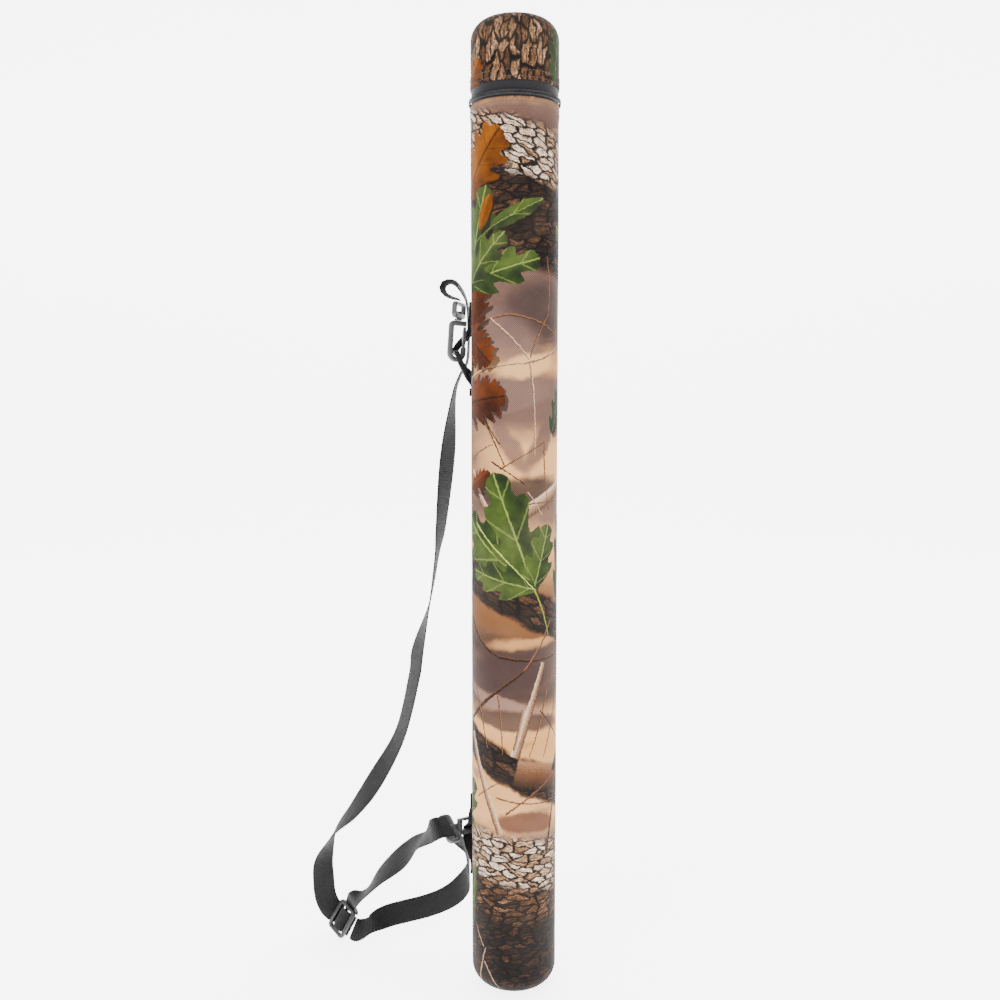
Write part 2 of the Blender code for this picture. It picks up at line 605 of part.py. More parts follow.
STRAP_RUN = [
    ((-147.2, 63.1, 11.3), (0.48, 0.05, 0.88), 1, 1),
    ((-143.5, 60.1, 10.9), (0.3, 0.45, 0.85), 1, 1),
    ((-137.5, 58.0, 13.6), (0.1, 0.75, 0.65), 1, 1),
    ((-130.0, 57.8, 17.8), (0.0, 0.9, 0.43), 1, 1),
    ((-114.5, 63.0, 23.6), (-0.15, 0.5, 0.85), 1, 1),
    ((-78.4, 58.0, 35.6), (-0.3, 0.3, 0.9), 1, 1),
    ((-57.4, 52.0, 47.6), (-0.4, 0.35, 0.85), 1, 1),
    ((-45.3, 46.0, 61.7), (-0.4, 0.6, 0.7), 1, 1),
    ((-40.0, 40.0, 78.0), (-0.1, 0.95, 0.3), 1, 1),
    ((-40.5, 33.5, 93.0), (0.05, 1, 0.1), 1, 1),
    ((-43.5, 27.0, 106.0), (-0.1, 0.95, 0.3), 1, 1),
    ((-50.5, 20.0, 115.5), (-0.3, 0.8, 0.5), 1, 1),
    ((-57.6, 12.9, 124.6), (-0.38, 0.72, 0.58), 1, 1)]

STRAP_RETURN = [
    ((-55.1, 9.4, 131.0), (-0.44, 0.69, 0.57), 1, 1),
    ((-59.2, 6.8, 131.2), (-0.44, 0.69, 0.57), 1, 1),
    ((-64.8, 4.6, 131.0), (-0.44, 0.69, 0.57), 1, 1),
    ((-70.5, 8.5, 127.0), (-0.35, 0.78, 0.5), 1, 1),
    ((-75.0, 18.0, 120.0), (-0.1, 0.9, 0.4), 1, 1),
    ((-81.0, 28.0, 110.5), (0.1, 0.95, 0.2), 1, 1),
    ((-90.5, 38.0, 99.7), (-0.2, 0.85, 0.4), 1, 1),
    ((-103.0, 46.0, 84.6), (-0.45, 0.7, 0.5), 1, 1),
    ((-121.3, 55.0, 65.1), (-0.2, 0.9, 0.3), 1, 1),
    ((-135.2, 60.0, 46.6), (0.0, 1, 0), 1, 1),
    ((-145.0, 62.5, 38.5), (-0.3, 0.9, 0.2), 1, 1),
    ((-149.0, 73.0, 30.0), (-0.6, 0.75, 0.3), 1, 1),
    ((-150.5, 75.2, 24.0), (-0.64, 0.7, 0.3), 1, 1)]


def build_glide(parent):
    """Three-bar slide, its two slots a webbing's width across."""
    frame = add_empty("tri_glide_frame", Vector(GLIDE_CENTRE) * MM,
                      frame_of(Vector(GLIDE_ALONG).cross(Vector(GLIDE_ACROSS)), GLIDE_ACROSS), parent)
    slot_width = WEB_WIDTH + 2 * EYE_CLEARANCE
    width = slot_width + 2 * GLIDE_BAR
    slot_length = (GLIDE_LENGTH - 3 * GLIDE_BAR) / 2
    offset = (slot_length + GLIDE_BAR) / 2
    holes = [[(x, y + side * offset) for x, y in rounded_box(slot_width, slot_length, 1.2 * MM, 2)]
             for side in (-1, 1)]
    outer = rounded_box(width, GLIDE_LENGTH, 3.5 * MM)
    outline_object("tri_glide", [outer, *holes], GLIDE_THICKNESS, NYLON, parent=frame)


def build_strap(strap):
    webbing("anchor_strap_upper", ANCHOR_UPPER, strap, spacing=3.0 * MM)
    webbing("anchor_strap_lower", ANCHOR_LOWER, strap, spacing=3.0 * MM)
    build_hook("upper", (-46.2, 8.0, 564.5), (0.07, 0.0, 1.0), (0.94, 0.34, 0.0), 55.0, strap)
    build_hook("lower", (-50.6, 15.2, 127.2), (-0.84, -0.54, 0.02), (0.0, 0.0, 1.0), 55.0, strap)
    build_glide(strap)
    webbing("strap_main", STRAP_MAIN, strap)
    webbing("strap_lower_run", STRAP_RUN, strap)
    webbing("strap_return_run", STRAP_RETURN, strap)


# ---------------------------------------------------------------- build

clear_scene()
PARTS = collection("rod_case")
CUTTERS = collection("cutters")

CAMO = material("camouflage_fabric", (0.16, 0.12, 0.08), 0.85)
PLASTIC = material("tube_plastic", (0.02, 0.02, 0.02), 0.5)
LINING = material("lining_fabric", (0.03, 0.03, 0.03), 0.9)
FOAM = material("foam", (0.05, 0.05, 0.05), 0.95)
TAPE = material("zip_tape", (0.015, 0.015, 0.015), 0.8)
TEETH = material("zip_teeth", (0.03, 0.03, 0.03), 0.45)
METAL = material("zip_slider_metal", (0.04, 0.04, 0.04), 0.35, 1.0)
WEB = material("webbing", (0.018, 0.018, 0.018), 0.8)
NYLON = material("moulded_nylon", (0.06, 0.06, 0.065), 0.45)

cap_hinge = add_empty("cap_hinge", (0.0, HINGE_RADIUS, PARTING_HEIGHT))
cap_frame = add_empty("cap_frame", (0.0, -HINGE_RADIUS, -PARTING_HEIGHT), parent=cap_hinge)
slider_axis = add_empty("slider_axis", (0.0, 0.0, PARTING_HEIGHT - SLIDER_DROP),
                        Matrix.Rotation(math.radians(SLIDER_AZIMUTH), 3, "Z"))
pull_pivot = add_empty("pull_pivot", (PULL_PIVOT, 0.0, 0.0), parent=slider_axis)
stand_off = CASE_RADIUS - LAID_RADIUS
strap_frame = add_empty("strap_frame", (stand_off * math.cos(math.radians(ANCHOR_AZIMUTH)),
                                        stand_off * math.sin(math.radians(ANCHOR_AZIMUTH)), 0.0))

build_case()
build_cap(cap_frame)
build_zip(cap_frame, slider_axis)
build_pull(pull_pivot)
build_strap(strap_frame)
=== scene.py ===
"""Looks of the rod case: camouflage fabric, zip, webbing and moulded hooks, built round the CAD frame.

Lengths are in metres, and the print's in millimetres. The case stands on Z = 0 with -Y to the front,
and the strap hangs on the -X side.
"""

import math

import bmesh
import bpy
from mathutils import Matrix, Vector, noise


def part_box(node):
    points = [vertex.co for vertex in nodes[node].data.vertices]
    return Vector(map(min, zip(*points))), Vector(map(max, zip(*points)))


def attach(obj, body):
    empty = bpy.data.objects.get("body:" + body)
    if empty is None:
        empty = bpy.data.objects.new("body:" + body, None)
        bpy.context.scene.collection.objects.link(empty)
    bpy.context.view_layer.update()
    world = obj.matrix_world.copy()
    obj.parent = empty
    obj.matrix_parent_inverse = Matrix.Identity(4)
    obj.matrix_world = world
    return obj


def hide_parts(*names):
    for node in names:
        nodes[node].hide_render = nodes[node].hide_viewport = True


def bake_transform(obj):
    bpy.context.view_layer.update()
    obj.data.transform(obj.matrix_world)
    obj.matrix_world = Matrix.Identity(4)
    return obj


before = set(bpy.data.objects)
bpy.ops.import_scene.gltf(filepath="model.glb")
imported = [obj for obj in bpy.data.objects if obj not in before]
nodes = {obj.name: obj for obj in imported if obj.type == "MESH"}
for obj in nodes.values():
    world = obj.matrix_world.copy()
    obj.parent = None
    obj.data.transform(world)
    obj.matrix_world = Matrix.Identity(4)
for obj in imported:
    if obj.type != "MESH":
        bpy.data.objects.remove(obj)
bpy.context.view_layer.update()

MM = 0.001

# The case, as the CAD has it
RADIUS = 35.6 * MM
LENGTH = 798.0 * MM
PARTING = 734.0 * MM
RIM = 16.4 * MM
GAP = 0.3 * MM
COVER_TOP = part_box("body_cover")[1][2]
CAP_COVER_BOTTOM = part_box("cap_cover")[0][2]
COIL_RADIUS = 0.85 * MM
COIL_CENTRE = RADIUS + COIL_RADIUS + 0.1 * MM
ZIP_START, ZIP_END = 50.0, -230.0        # azimuths, from +X towards +Y

WEB_WIDTH = 20.0 * MM
WEB_THICKNESS = 1.4 * MM


# ---------------------------------------------------------------- camera

camera_data = bpy.data.cameras.new("camera")
camera_data.lens = 38.556
camera_data.sensor_width = 36.0
camera = bpy.data.objects.new("camera", camera_data)
bpy.context.scene.collection.objects.link(camera)
camera.location = (-0.0119, -0.88659, 0.49547)
camera.rotation_euler = (math.radians(84.78), 0.0, 0.0)
bpy.context.scene.camera = camera


# ---------------------------------------------------------------- node tools

class Nodes:
    """Short calls for building a material's or a group's nodes."""

    def __init__(self, tree):
        self.tree = tree

    def add(self, kind, inputs=(), out=0, **settings):
        node = self.tree.nodes.new("ShaderNode" + kind)
        for key, value in settings.items():
            setattr(node, key, value)
        for key, value in dict(inputs).items():
            self.put(node.inputs[key], value)
        return node.outputs[out]

    def put(self, socket, value):
        if isinstance(value, bpy.types.NodeSocket):
            self.tree.links.new(value, socket)
        elif isinstance(value, tuple) and socket.type == "RGBA" and len(value) == 3:
            socket.default_value = (*value, 1.0)
        else:
            socket.default_value = value

    def math(self, operation, a, b=0.0, c=0.0, clamp=False):
        return self.add("Math", {0: a, 1: b, 2: c}, operation=operation, use_clamp=clamp)

    def times(self, a, b):
        return self.math("MULTIPLY", a, b)

    def plus(self, a, b):
        return self.math("ADD", a, b)

    def minus(self, a, b, clamp=False):
        return self.math("SUBTRACT", a, b, clamp=clamp)

    def fade(self, value, low, high, to_low=0.0, to_high=1.0):
        """A smooth step of value between low and high."""
        return self.add("MapRange", {"Value": value, "From Min": low, "From Max": high,
                                     "To Min": to_low, "To Max": to_high},
                        interpolation_type="SMOOTHSTEP")

    def mix(self, factor, a, b, blend="MIX"):
        return self.add("Mix", {0: factor, 6: a, 7: b}, out=2, data_type="RGBA", blend_type=blend)

    def ramp(self, value, stops):
        node = self.tree.nodes.new("ShaderNodeValToRGB")
        elements = node.color_ramp.elements
        while len(elements) < len(stops):
            elements.new(0.5)
        for element, (place, colour) in zip(elements, stops):
            element.position = place
            element.color = (*colour, 1.0)
        self.put(node.inputs[0], value)
        return node.outputs[0]

    def noise(self, vector, scale, detail=3.0, roughness=0.5, out=0):
        return self.add("TexNoise", {"Vector": vector, "Scale": scale, "Detail": detail,
                                     "Roughness": roughness}, out=out)

    def stirred(self, vector, scale, detail, reach):
        """Coordinates pushed about by noise, along X and Y by up to half of reach each way."""
        push = self.noise(vector, scale, detail, 0.6, out=1)
        centred = self.add("VectorMath", {0: push, 1: (0.5, 0.5, 0.5)}, operation="SUBTRACT")
        return self.add("VectorMath", {0: centred, 1: (*reach, 0.0), 2: vector}, operation="MULTIPLY_ADD")

    def place(self, vector, location=(0, 0), turn=0.0, size=(1, 1)):
        """Coordinates inside a shape put at location, turned, with half sizes of 1."""
        return self.add("Mapping", {"Vector": vector, "Location": (*location, 0.0),
                                    "Rotation": (0.0, 0.0, math.radians(turn)),
                                    "Scale": (*size, 1.0)}, vector_type="TEXTURE")

    def parts(self, vector):
        node = self.tree.nodes.new("ShaderNodeSeparateXYZ")
        self.put(node.inputs[0], vector)
        return node.outputs[0], node.outputs[1]

    def group(self, tree, inputs):
        node = self.tree.nodes.new("ShaderNodeGroup")
        node.node_tree = tree
        for key, value in inputs.items():
            self.put(node.inputs[key], value)
        return node.outputs


def new_group(name, inputs, outputs):
    """An empty group with named sockets; returns its tools, its input sockets and its output node."""
    tree = bpy.data.node_groups.new(name, "ShaderNodeTree")
    for label, kind in inputs:
        tree.interface.new_socket(label, in_out="INPUT", socket_type="NodeSocket" + kind)
    for label, kind in outputs:
        tree.interface.new_socket(label, in_out="OUTPUT", socket_type="NodeSocket" + kind)
    start = tree.nodes.new("NodeGroupInput")
    end = tree.nodes.new("NodeGroupOutput")
    return Nodes(tree), start.outputs, end


def srgb(red, green, blue):
    """A display colour of 0 to 255 as linear light."""
    return tuple((c / 255) ** 2.2 for c in (red, green, blue))


def new_material(name, roughness=0.6, metallic=0.0, sheen=0.0, specular=0.5):
    made = bpy.data.materials.new(name)
    made.use_nodes = True
    shader = made.node_tree.nodes["Principled BSDF"]
    shader.inputs["Roughness"].default_value = roughness
    shader.inputs["Metallic"].default_value = metallic
    shader.inputs["Specular IOR Level"].default_value = specular
    shader.inputs["Sheen Weight"].default_value = sheen
    shader.inputs["Sheen Roughness"].default_value = 0.4
    return made, Nodes(made.node_tree), shader


def bump(n, shader, height, distance, strength=1.0, after=None):
    inputs = {"Height": height, "Distance": distance, "Strength": strength}
    if after is not None:
        inputs["Normal"] = after
    normal = n.add("Bump", inputs)
    n.put(shader.inputs["Normal"], normal)
    return normal


# ---------------------------------------------------------------- camouflage print

def bark_group():
    """Bark plates with dark fissures; Vector in mm with the grain along X, Light from dark to pale."""
    n, given, end = new_group("bark", [("Vector", "Vector"), ("Light", "Float"), ("Size", "Float")],
                              [("Color", "Color"), ("Height", "Float")])
    bent = n.stirred(given["Vector"], 0.09, 4.0, (13.0, 9.0))
    shrunk = n.add("VectorMath", {0: bent, 1: n.add("CombineXYZ", {0: 0.36, 1: 1.0, 2: 1.0})},
                   operation="MULTIPLY")
    plates = n.add("TexVoronoi", {"Vector": shrunk, "Scale": given["Size"], "Randomness": 0.95},
                   feature="DISTANCE_TO_EDGE", voronoi_dimensions="2D")
    tint = n.add("TexVoronoi", {"Vector": shrunk, "Scale": given["Size"], "Randomness": 0.95},
                 out=1, voronoi_dimensions="2D")
    tone, _ = n.parts(tint)
    streak = n.noise(n.place(bent, size=(4.5, 1.0)), 0.9, 4.0, 0.7)
    flakes = n.add("TexVoronoi", {"Vector": bent, "Scale": 0.42, "Randomness": 1.0},
                   feature="DISTANCE_TO_EDGE", voronoi_dimensions="2D")
    fissure = n.fade(plates, 0.04, 0.19)
    cracks = n.fade(flakes, 0.0, 0.14, 0.5, 1.0)
    raised = n.times(n.times(fissure, cracks), n.fade(streak, 0.3, 0.6, 0.4, 1.0))
    pale = n.plus(n.times(tone, 0.34), n.math("MULTIPLY_ADD", streak, 0.95, -0.2))
    value = n.plus(pale, n.minus(given["Light"], 0.55))
    body = n.ramp(value, [(0.0, srgb(52, 44, 42)), (0.28, srgb(88, 68, 56)), (0.5, srgb(132, 104, 84)),
                          (0.68, srgb(184, 156, 132)), (0.86, srgb(228, 208, 190)),
                          (1.0, srgb(244, 232, 220))])
    colour = n.mix(raised, srgb(24, 21, 21), body)
    n.put(end.inputs["Color"], colour)
    n.put(end.inputs["Height"], raised)
    return n.tree


def leaf_group():
    """A lobed leaf between X = -1 and 1 of its own coordinates, with midrib and side veins."""
    n, given, end = new_group(
        "leaf", [("Vector", "Vector"), ("Lobes", "Float"), ("Depth", "Float"), ("Point", "Float")],
        [("Mask", "Float"), ("Vein", "Float"), ("Shade", "Float")])
    x, y = n.parts(given["Vector"])
    away = n.math("ABSOLUTE", y)
    round_end = n.math("POWER", n.minus(1.0, n.times(x, x), clamp=True),
                       given["Point"])
    slid = n.plus(x, n.times(away, -0.55))
    wave = n.math("PINGPONG", n.times(slid, given["Lobes"]), 0.5)
    bite = n.times(n.fade(wave, 0.08, 0.46), given["Depth"])
    edge = n.times(round_end, n.minus(1.0, bite))
    mask = n.fade(n.minus(edge, away), 0.0, 0.03)
    midrib = n.fade(away, 0.018, 0.05, 1.0, 0.0)
    side = n.math("PINGPONG", n.times(n.plus(slid, 0.12), given["Lobes"]), 0.5)
    vein = n.times(n.fade(side, 0.012, 0.05, 0.6, 0.0), mask)
    half = n.fade(y, -0.25, 0.25)
    n.put(end.inputs["Mask"], mask)
    n.put(end.inputs["Vein"], n.math("MAXIMUM", midrib, vein))
    n.put(end.inputs["Shade"], half)
    return n.tree


def stick_group():
    """A stick between X = -1 and 1 and Y = -1 and 1, lit from above; Bend bows it."""
    n, given, end = new_group("stick", [("Vector", "Vector"), ("Bend", "Float"), ("Taper", "Float")],
                              [("Mask", "Float"), ("Across", "Float")])
    x, y = n.parts(given["Vector"])
    bowed = n.minus(y, n.times(given["Bend"],
                                         n.minus(1.0, n.times(x, x))))
    width = n.minus(1.0, n.times(given["Taper"], n.math("MULTIPLY_ADD", x, 0.5, 0.5)))
    across = n.math("DIVIDE", bowed, n.math("MAXIMUM", width, 0.05))
    inside = n.fade(n.math("ABSOLUTE", across), 0.75, 1.05, 1.0, 0.0)
    ends = n.fade(n.math("ABSOLUTE", x), 0.97, 1.0, 1.0, 0.0)
    n.put(end.inputs["Mask"], n.times(inside, ends))
    n.put(end.inputs["Across"], n.math("MULTIPLY_ADD", across, 0.5, 0.5, clamp=True))
    return n.tree


BARK, LEAF, STICK = bark_group(), leaf_group(), stick_group()

GREEN = (srgb(52, 64, 42), srgb(98, 112, 68), srgb(156, 166, 112))
DEEP_GREEN = (srgb(34, 46, 30), srgb(62, 78, 50), srgb(112, 126, 84))
GOLD = (srgb(104, 66, 32), srgb(156, 108, 56), srgb(66, 40, 24))
RUST = (srgb(74, 46, 32), srgb(122, 78, 50), srgb(44, 28, 22))

PALE_WOOD = (srgb(92, 72, 60), srgb(176, 150, 130), srgb(226, 208, 190))
BROWN_WOOD = (srgb(60, 46, 40), srgb(122, 94, 76), srgb(176, 146, 122))
DARK_WOOD = (srgb(38, 32, 30), srgb(78, 60, 50), srgb(136, 108, 86))


class Print:
    """The camouflage print, painted layer on layer in mm: X round the case from the front, Y up it."""

    def __init__(self, n):
        self.n = n
        uv = n.add("UVMap", uv_map="print")
        self.flat = n.add("VectorMath", {0: uv, "Scale": 1000.0}, operation="SCALE")
        self.soft = n.stirred(self.flat, 0.045, 4.0, (16.0, 12.0))
        self.rough = n.stirred(self.flat, 0.35, 3.0, (2.6, 2.6))
        self.grain = n.noise(self.flat, 0.8, 4.0, 0.65)
        self.colour = None

    def paint(self, mask, colour):
        self.colour = self.n.mix(mask, self.colour, colour)

    def over(self, vector):
        """The same coordinates with a trace of the colour below, far too small to see.

        It makes the renderer work the shapes out one after another, inside its shader memory.
        """
        return self.n.add("VectorMath", {0: self.colour, 1: (1e-6, 1e-6, 1e-6), 2: vector},
                          operation="MULTIPLY_ADD")

    def blob(self, at, size, turn, colour, softness=0.25, strength=1.0):
        x, y = self.n.parts(self.n.place(self.over(self.soft), at, turn, size))
        far = self.n.math("SQRT", self.n.plus(self.n.times(x, x),
                                              self.n.times(y, y)))
        self.paint(self.n.fade(far, 1.0 - softness, 1.0 + softness, strength, 0.0), colour)

    def band(self, low, high, slope, light, size, turn):
        """Bark across the whole print between two heights at the front, its edges rising by slope."""
        n = self.n
        edge = 5.0
        x, y = n.parts(self.over(self.soft))
        level = n.minus(y, n.times(x, slope))
        mask = n.times(n.fade(level, low - edge, low + edge),
                      n.fade(level, high - edge, high + edge, 1.0, 0.0))
        self.bark(mask, light, size, turn)

    def bark(self, mask, light, size, turn):
        found = self.n.group(BARK, {"Vector": self.n.place(self.over(self.flat), (0, 0), turn),
                                    "Light": light, "Size": size})
        self.paint(mask, found["Color"])

    def log(self, at, length, width, turn, light, size):
        """A thick limb with bark along it."""
        place = self.n.place(self.over(self.soft), at, turn, (length / 2, width / 2))
        found = self.n.group(STICK, {"Vector": place, "Bend": 0.0, "Taper": 0.0})
        self.bark(found["Mask"], light, size, turn)
        dark = self.n.fade(found["Across"], 0.0, 0.45, 0.75, 0.0)
        self.paint(self.n.times(dark, found["Mask"]), srgb(30, 26, 26))

    def stick(self, start, finish, width, woods, bend=0.0, taper=0.35):
        """A twig or stick between two points; bend bows its middle, in widths."""
        n = self.n
        (x0, y0), (x1, y1) = start, finish
        length = math.hypot(x1 - x0, y1 - y0)
        place = n.place(self.over(self.rough), ((x0 + x1) / 2, (y0 + y1) / 2),
                        math.degrees(math.atan2(y1 - y0, x1 - x0)), (length / 2, width / 2))
        found = n.group(STICK, {"Vector": place, "Bend": bend, "Taper": taper})
        tone = n.math("MULTIPLY_ADD", self.grain, 0.7, n.math("MULTIPLY_ADD", found["Across"], 0.7, -0.25))
        dark, middle, light = woods
        wood = n.ramp(tone, [(0.12, dark), (0.5, middle), (0.85, light)])
        self.paint(found["Mask"], wood)

    def leaf(self, at, size, turn, colours, lobes=2.5, depth=0.5, point=0.6, shadow=True):
        n = self.n
        dark, light, rib = colours
        half = (size[0] / 2, size[1] / 2)
        if shadow:
            under = n.group(LEAF, {"Vector": n.place(self.over(self.soft), (at[0] + 2.5, at[1] - 3.0),
                                                      turn, half),
                                   "Lobes": lobes, "Depth": depth, "Point": point})
            self.paint(n.times(under["Mask"], 0.62), srgb(40, 32, 30))
        found = n.group(LEAF, {"Vector": n.place(self.over(self.rough), at, turn, half),
                               "Lobes": lobes, "Depth": depth, "Point": point})
        cloud = n.noise(self.flat, 0.07, 3.0)
        tone = n.plus(n.times(cloud, 1.1),
                      n.math("MULTIPLY_ADD", found["Shade"], 0.34, -0.3))
        blade = n.ramp(tone, [(0.1, dark), (0.75, light)])
        blade = n.mix(n.times(found["Vein"], 0.75), blade, rib)
        self.paint(found["Mask"], blade)

    def spray(self, base, lobes, colours, depth=0.5):
        """A broad leaf whose lobes fan out from its base; lobes are (length, width, direction)."""
        for i, (length, width, turn) in enumerate(lobes):
            a = math.radians(turn)
            middle = (base[0] + 0.47 * length * math.cos(a), base[1] + 0.47 * length * math.sin(a))
            self.leaf(middle, (length, width), turn, colours, 1.5, depth, 0.55, shadow=i == 0)


def paint_ground(p):
    """Out-of-focus woodland floor: sand, peach, mauve and brown in drifting bands."""
    n = p.n
    _, height = n.parts(p.soft)
    level = n.math("DIVIDE", height, 800.0)
    sand, peach, mauve = srgb(204, 168, 132), srgb(216, 180, 146), srgb(126, 106, 98)
    dark, brown = srgb(88, 74, 70), srgb(134, 104, 82)
    p.colour = n.ramp(level, [
        (0.00, dark), (0.10, dark), (0.165, mauve), (0.19, peach), (0.27, sand), (0.292, peach),
        (0.318, dark), (0.345, mauve), (0.372, dark), (0.395, brown), (0.42, brown), (0.47, peach),
        (0.515, mauve), (0.54, peach), (0.575, peach), (0.60, mauve), (0.64, mauve), (0.655, sand),
        (0.68, mauve), (0.72, mauve), (0.745, mauve), (0.80, dark), (0.88, dark), (0.905, mauve),
        (0.93, peach), (1.0, brown)])
    streaks = n.noise(n.place(p.soft, size=(3.0, 1.0)), 0.05, 3.0)
    p.paint(n.fade(streaks, 0.55, 0.7, 0.0, 0.55), mauve)
    p.paint(n.fade(streaks, 0.3, 0.42, 0.4, 0.0), sand)


def paint_forest(p):
    """The print's barks, logs, sticks and leaves, from the lowest layer to the top one."""
    for at, size, turn, colour, soft, strength in (
            ((20, 566), (34, 26), 25, srgb(84, 74, 72), 0.4, 0.8),
            ((-8, 545), (30, 20), -30, srgb(138, 118, 112), 0.4, 0.7),
            ((-12, 503), (46, 16), 4, srgb(136, 116, 108), 0.12, 0.95),
            ((10, 524), (26, 9), 12, srgb(220, 186, 150), 0.25, 0.9),
            ((-4, 462), (7, 26), 32, srgb(128, 108, 102), 0.35, 0.8),
            ((22, 462), (7, 22), -32, srgb(116, 98, 94), 0.35, 0.8),
            ((4, 424), (46, 12), 0, srgb(78, 68, 66), 0.3, 0.85),
            ((-8, 322), (44, 16), -16, srgb(136, 104, 80), 0.3, 0.8),
            ((14, 300), (34, 5), 2, srgb(206, 168, 132), 0.4, 0.8),
            ((0, 278), (48, 17), 6, srgb(90, 76, 74), 0.25, 0.9),
            ((-10, 250), (40, 6), -18, srgb(160, 136, 126), 0.3, 0.85),
            ((2, 236), (44, 8), -8, srgb(98, 82, 76), 0.25, 0.9),
            ((12, 150), (26, 9), -4, srgb(124, 96, 84), 0.2, 0.9),
            ((-70, 450), (40, 60), 20, srgb(112, 94, 88), 0.5, 0.7),
            ((78, 330), (34, 80), -15, srgb(120, 98, 84), 0.5, 0.7),
            ((-84, 250), (30, 50), 10, srgb(196, 160, 126), 0.5, 0.7)):
        p.blob(at, size, turn, colour, soft, strength)

    p.band(-40, 82, -0.10, 0.22, 0.23, 8)
    p.band(66, 114, -0.12, 0.46, 0.21, 5)
    p.band(96, 137, -0.15, 0.86, 0.22, -7)
    p.band(606, 684, -0.24, 0.30, 0.20, 6)
    p.band(674, 716, -0.24, 0.88, 0.20, -22)
    p.bark(p.n.fade(p.n.parts(p.over(p.soft))[1], 728, 736), 0.60, 0.17, 84)

    p.log((2, 334), 250, 31, -25, 0.34, 0.17)
    p.log((2, 193), 250, 31, -25, 0.34, 0.17)
    p.stick((0, 194), (100, 172), 25, BROWN_WOOD, 0.0, 0.1)
    p.log((88, 260), 170, 24, 62, 0.4, 0.16)
    p.log((-92, 440), 220, 24, 76, 0.5, 0.15)
    p.log((84, 520), 200, 22, 98, 0.6, 0.15)

    p.stick((-2, 401), (56, 432), 13, PALE_WOOD, 0.15, 0.25)
    p.stick((2, 404), (15, 380), 7, PALE_WOOD, 0.0, 0.4)
    p.stick((-46, 440), (-18, 402), 8, PALE_WOOD, -0.4, 0.3)
    p.stick((-46, 222), (-12, 140), 6.5, PALE_WOOD, 0.3, 0.1)
    p.stick((0, 206), (26, 284), 8.5, PALE_WOOD, 0.1, 0.45)
    p.stick((8, 246), (0, 212), 5, PALE_WOOD)
    p.stick((-100, 330), (-58, 420), 7, PALE_WOOD, 0.4, 0.3)
    p.stick((70, 404), (104, 470), 9, PALE_WOOD, 0.4, 0.3)
    p.stick((60, 140), (98, 214), 6, PALE_WOOD, 0.4, 0.3)
    for start, finish, width, woods, bend in (
            ((-46, 548), (-4, 564), 2.2, BROWN_WOOD, 3.0), ((-4, 564), (46, 546), 2.0, BROWN_WOOD, 3.0),
            ((-22, 562), (12, 528), 2.0, PALE_WOOD, 2.0), ((12, 528), (16, 452), 1.9, PALE_WOOD, 2.0),
            ((-48, 514), (6, 526), 2.4, PALE_WOOD, 2.0), ((6, 526), (52, 544), 2.4, PALE_WOOD, -2.0),
            ((28, 610), (30, 566), 1.6, BROWN_WOOD, 2.0), ((30, 566), (12, 530), 1.6, BROWN_WOOD, -2.0),
            ((-40, 512), (-12, 462), 1.9, DARK_WOOD, -3.0), ((-24, 476), (-8, 444), 1.4, DARK_WOOD, 1.0),
            ((-48, 446), (-18, 462), 1.5, BROWN_WOOD, 2.0), ((-12, 442), (26, 464), 1.5, BROWN_WOOD, 0.5),
            ((26, 464), (32, 408), 1.5, BROWN_WOOD, -3.0), ((-20, 448), (8, 430), 1.3, DARK_WOOD, 1.0),
            ((-4, 412), (40, 416), 1.5, BROWN_WOOD, 1.0), ((10, 424), (24, 404), 1.2, PALE_WOOD, 1.0),
            ((-46, 320), (-14, 290), 3.0, DARK_WOOD, -2.5), ((-14, 290), (42, 288), 3.0, DARK_WOOD, -1.5),
            ((-46, 232), (8, 278), 3.4, DARK_WOOD, 1.0), ((8, 278), (34, 318), 2.2, BROWN_WOOD, -1.0),
            ((-38, 262), (-24, 212), 1.7, BROWN_WOOD, 1.0), ((30, 262), (12, 206), 1.6, BROWN_WOOD, 1.5),
            ((46, 262), (26, 204), 1.8, BROWN_WOOD, 1.0), ((-14, 258), (-10, 208), 1.4, BROWN_WOOD, 1.0),
            ((22, 244), (48, 214), 1.5, DARK_WOOD, 1.0), ((-8, 158), (48, 190), 1.7, BROWN_WOOD, 3.0),
            ((-16, 172), (44, 166), 1.5, BROWN_WOOD, -3.0), ((-36, 168), (-14, 184), 1.3, BROWN_WOOD, 1.0),
            ((30, 120), (46, 182), 3.0, DARK_WOOD, 1.0), ((-34, 6), (-26, 40), 1.6, PALE_WOOD, 1.0),
            ((-28, 28), (-14, 6), 1.3, PALE_WOOD, 0.5), ((-28, 40), (-40, 58), 1.2, PALE_WOOD, 0.5)):
        p.stick(start, finish, width, woods, bend)

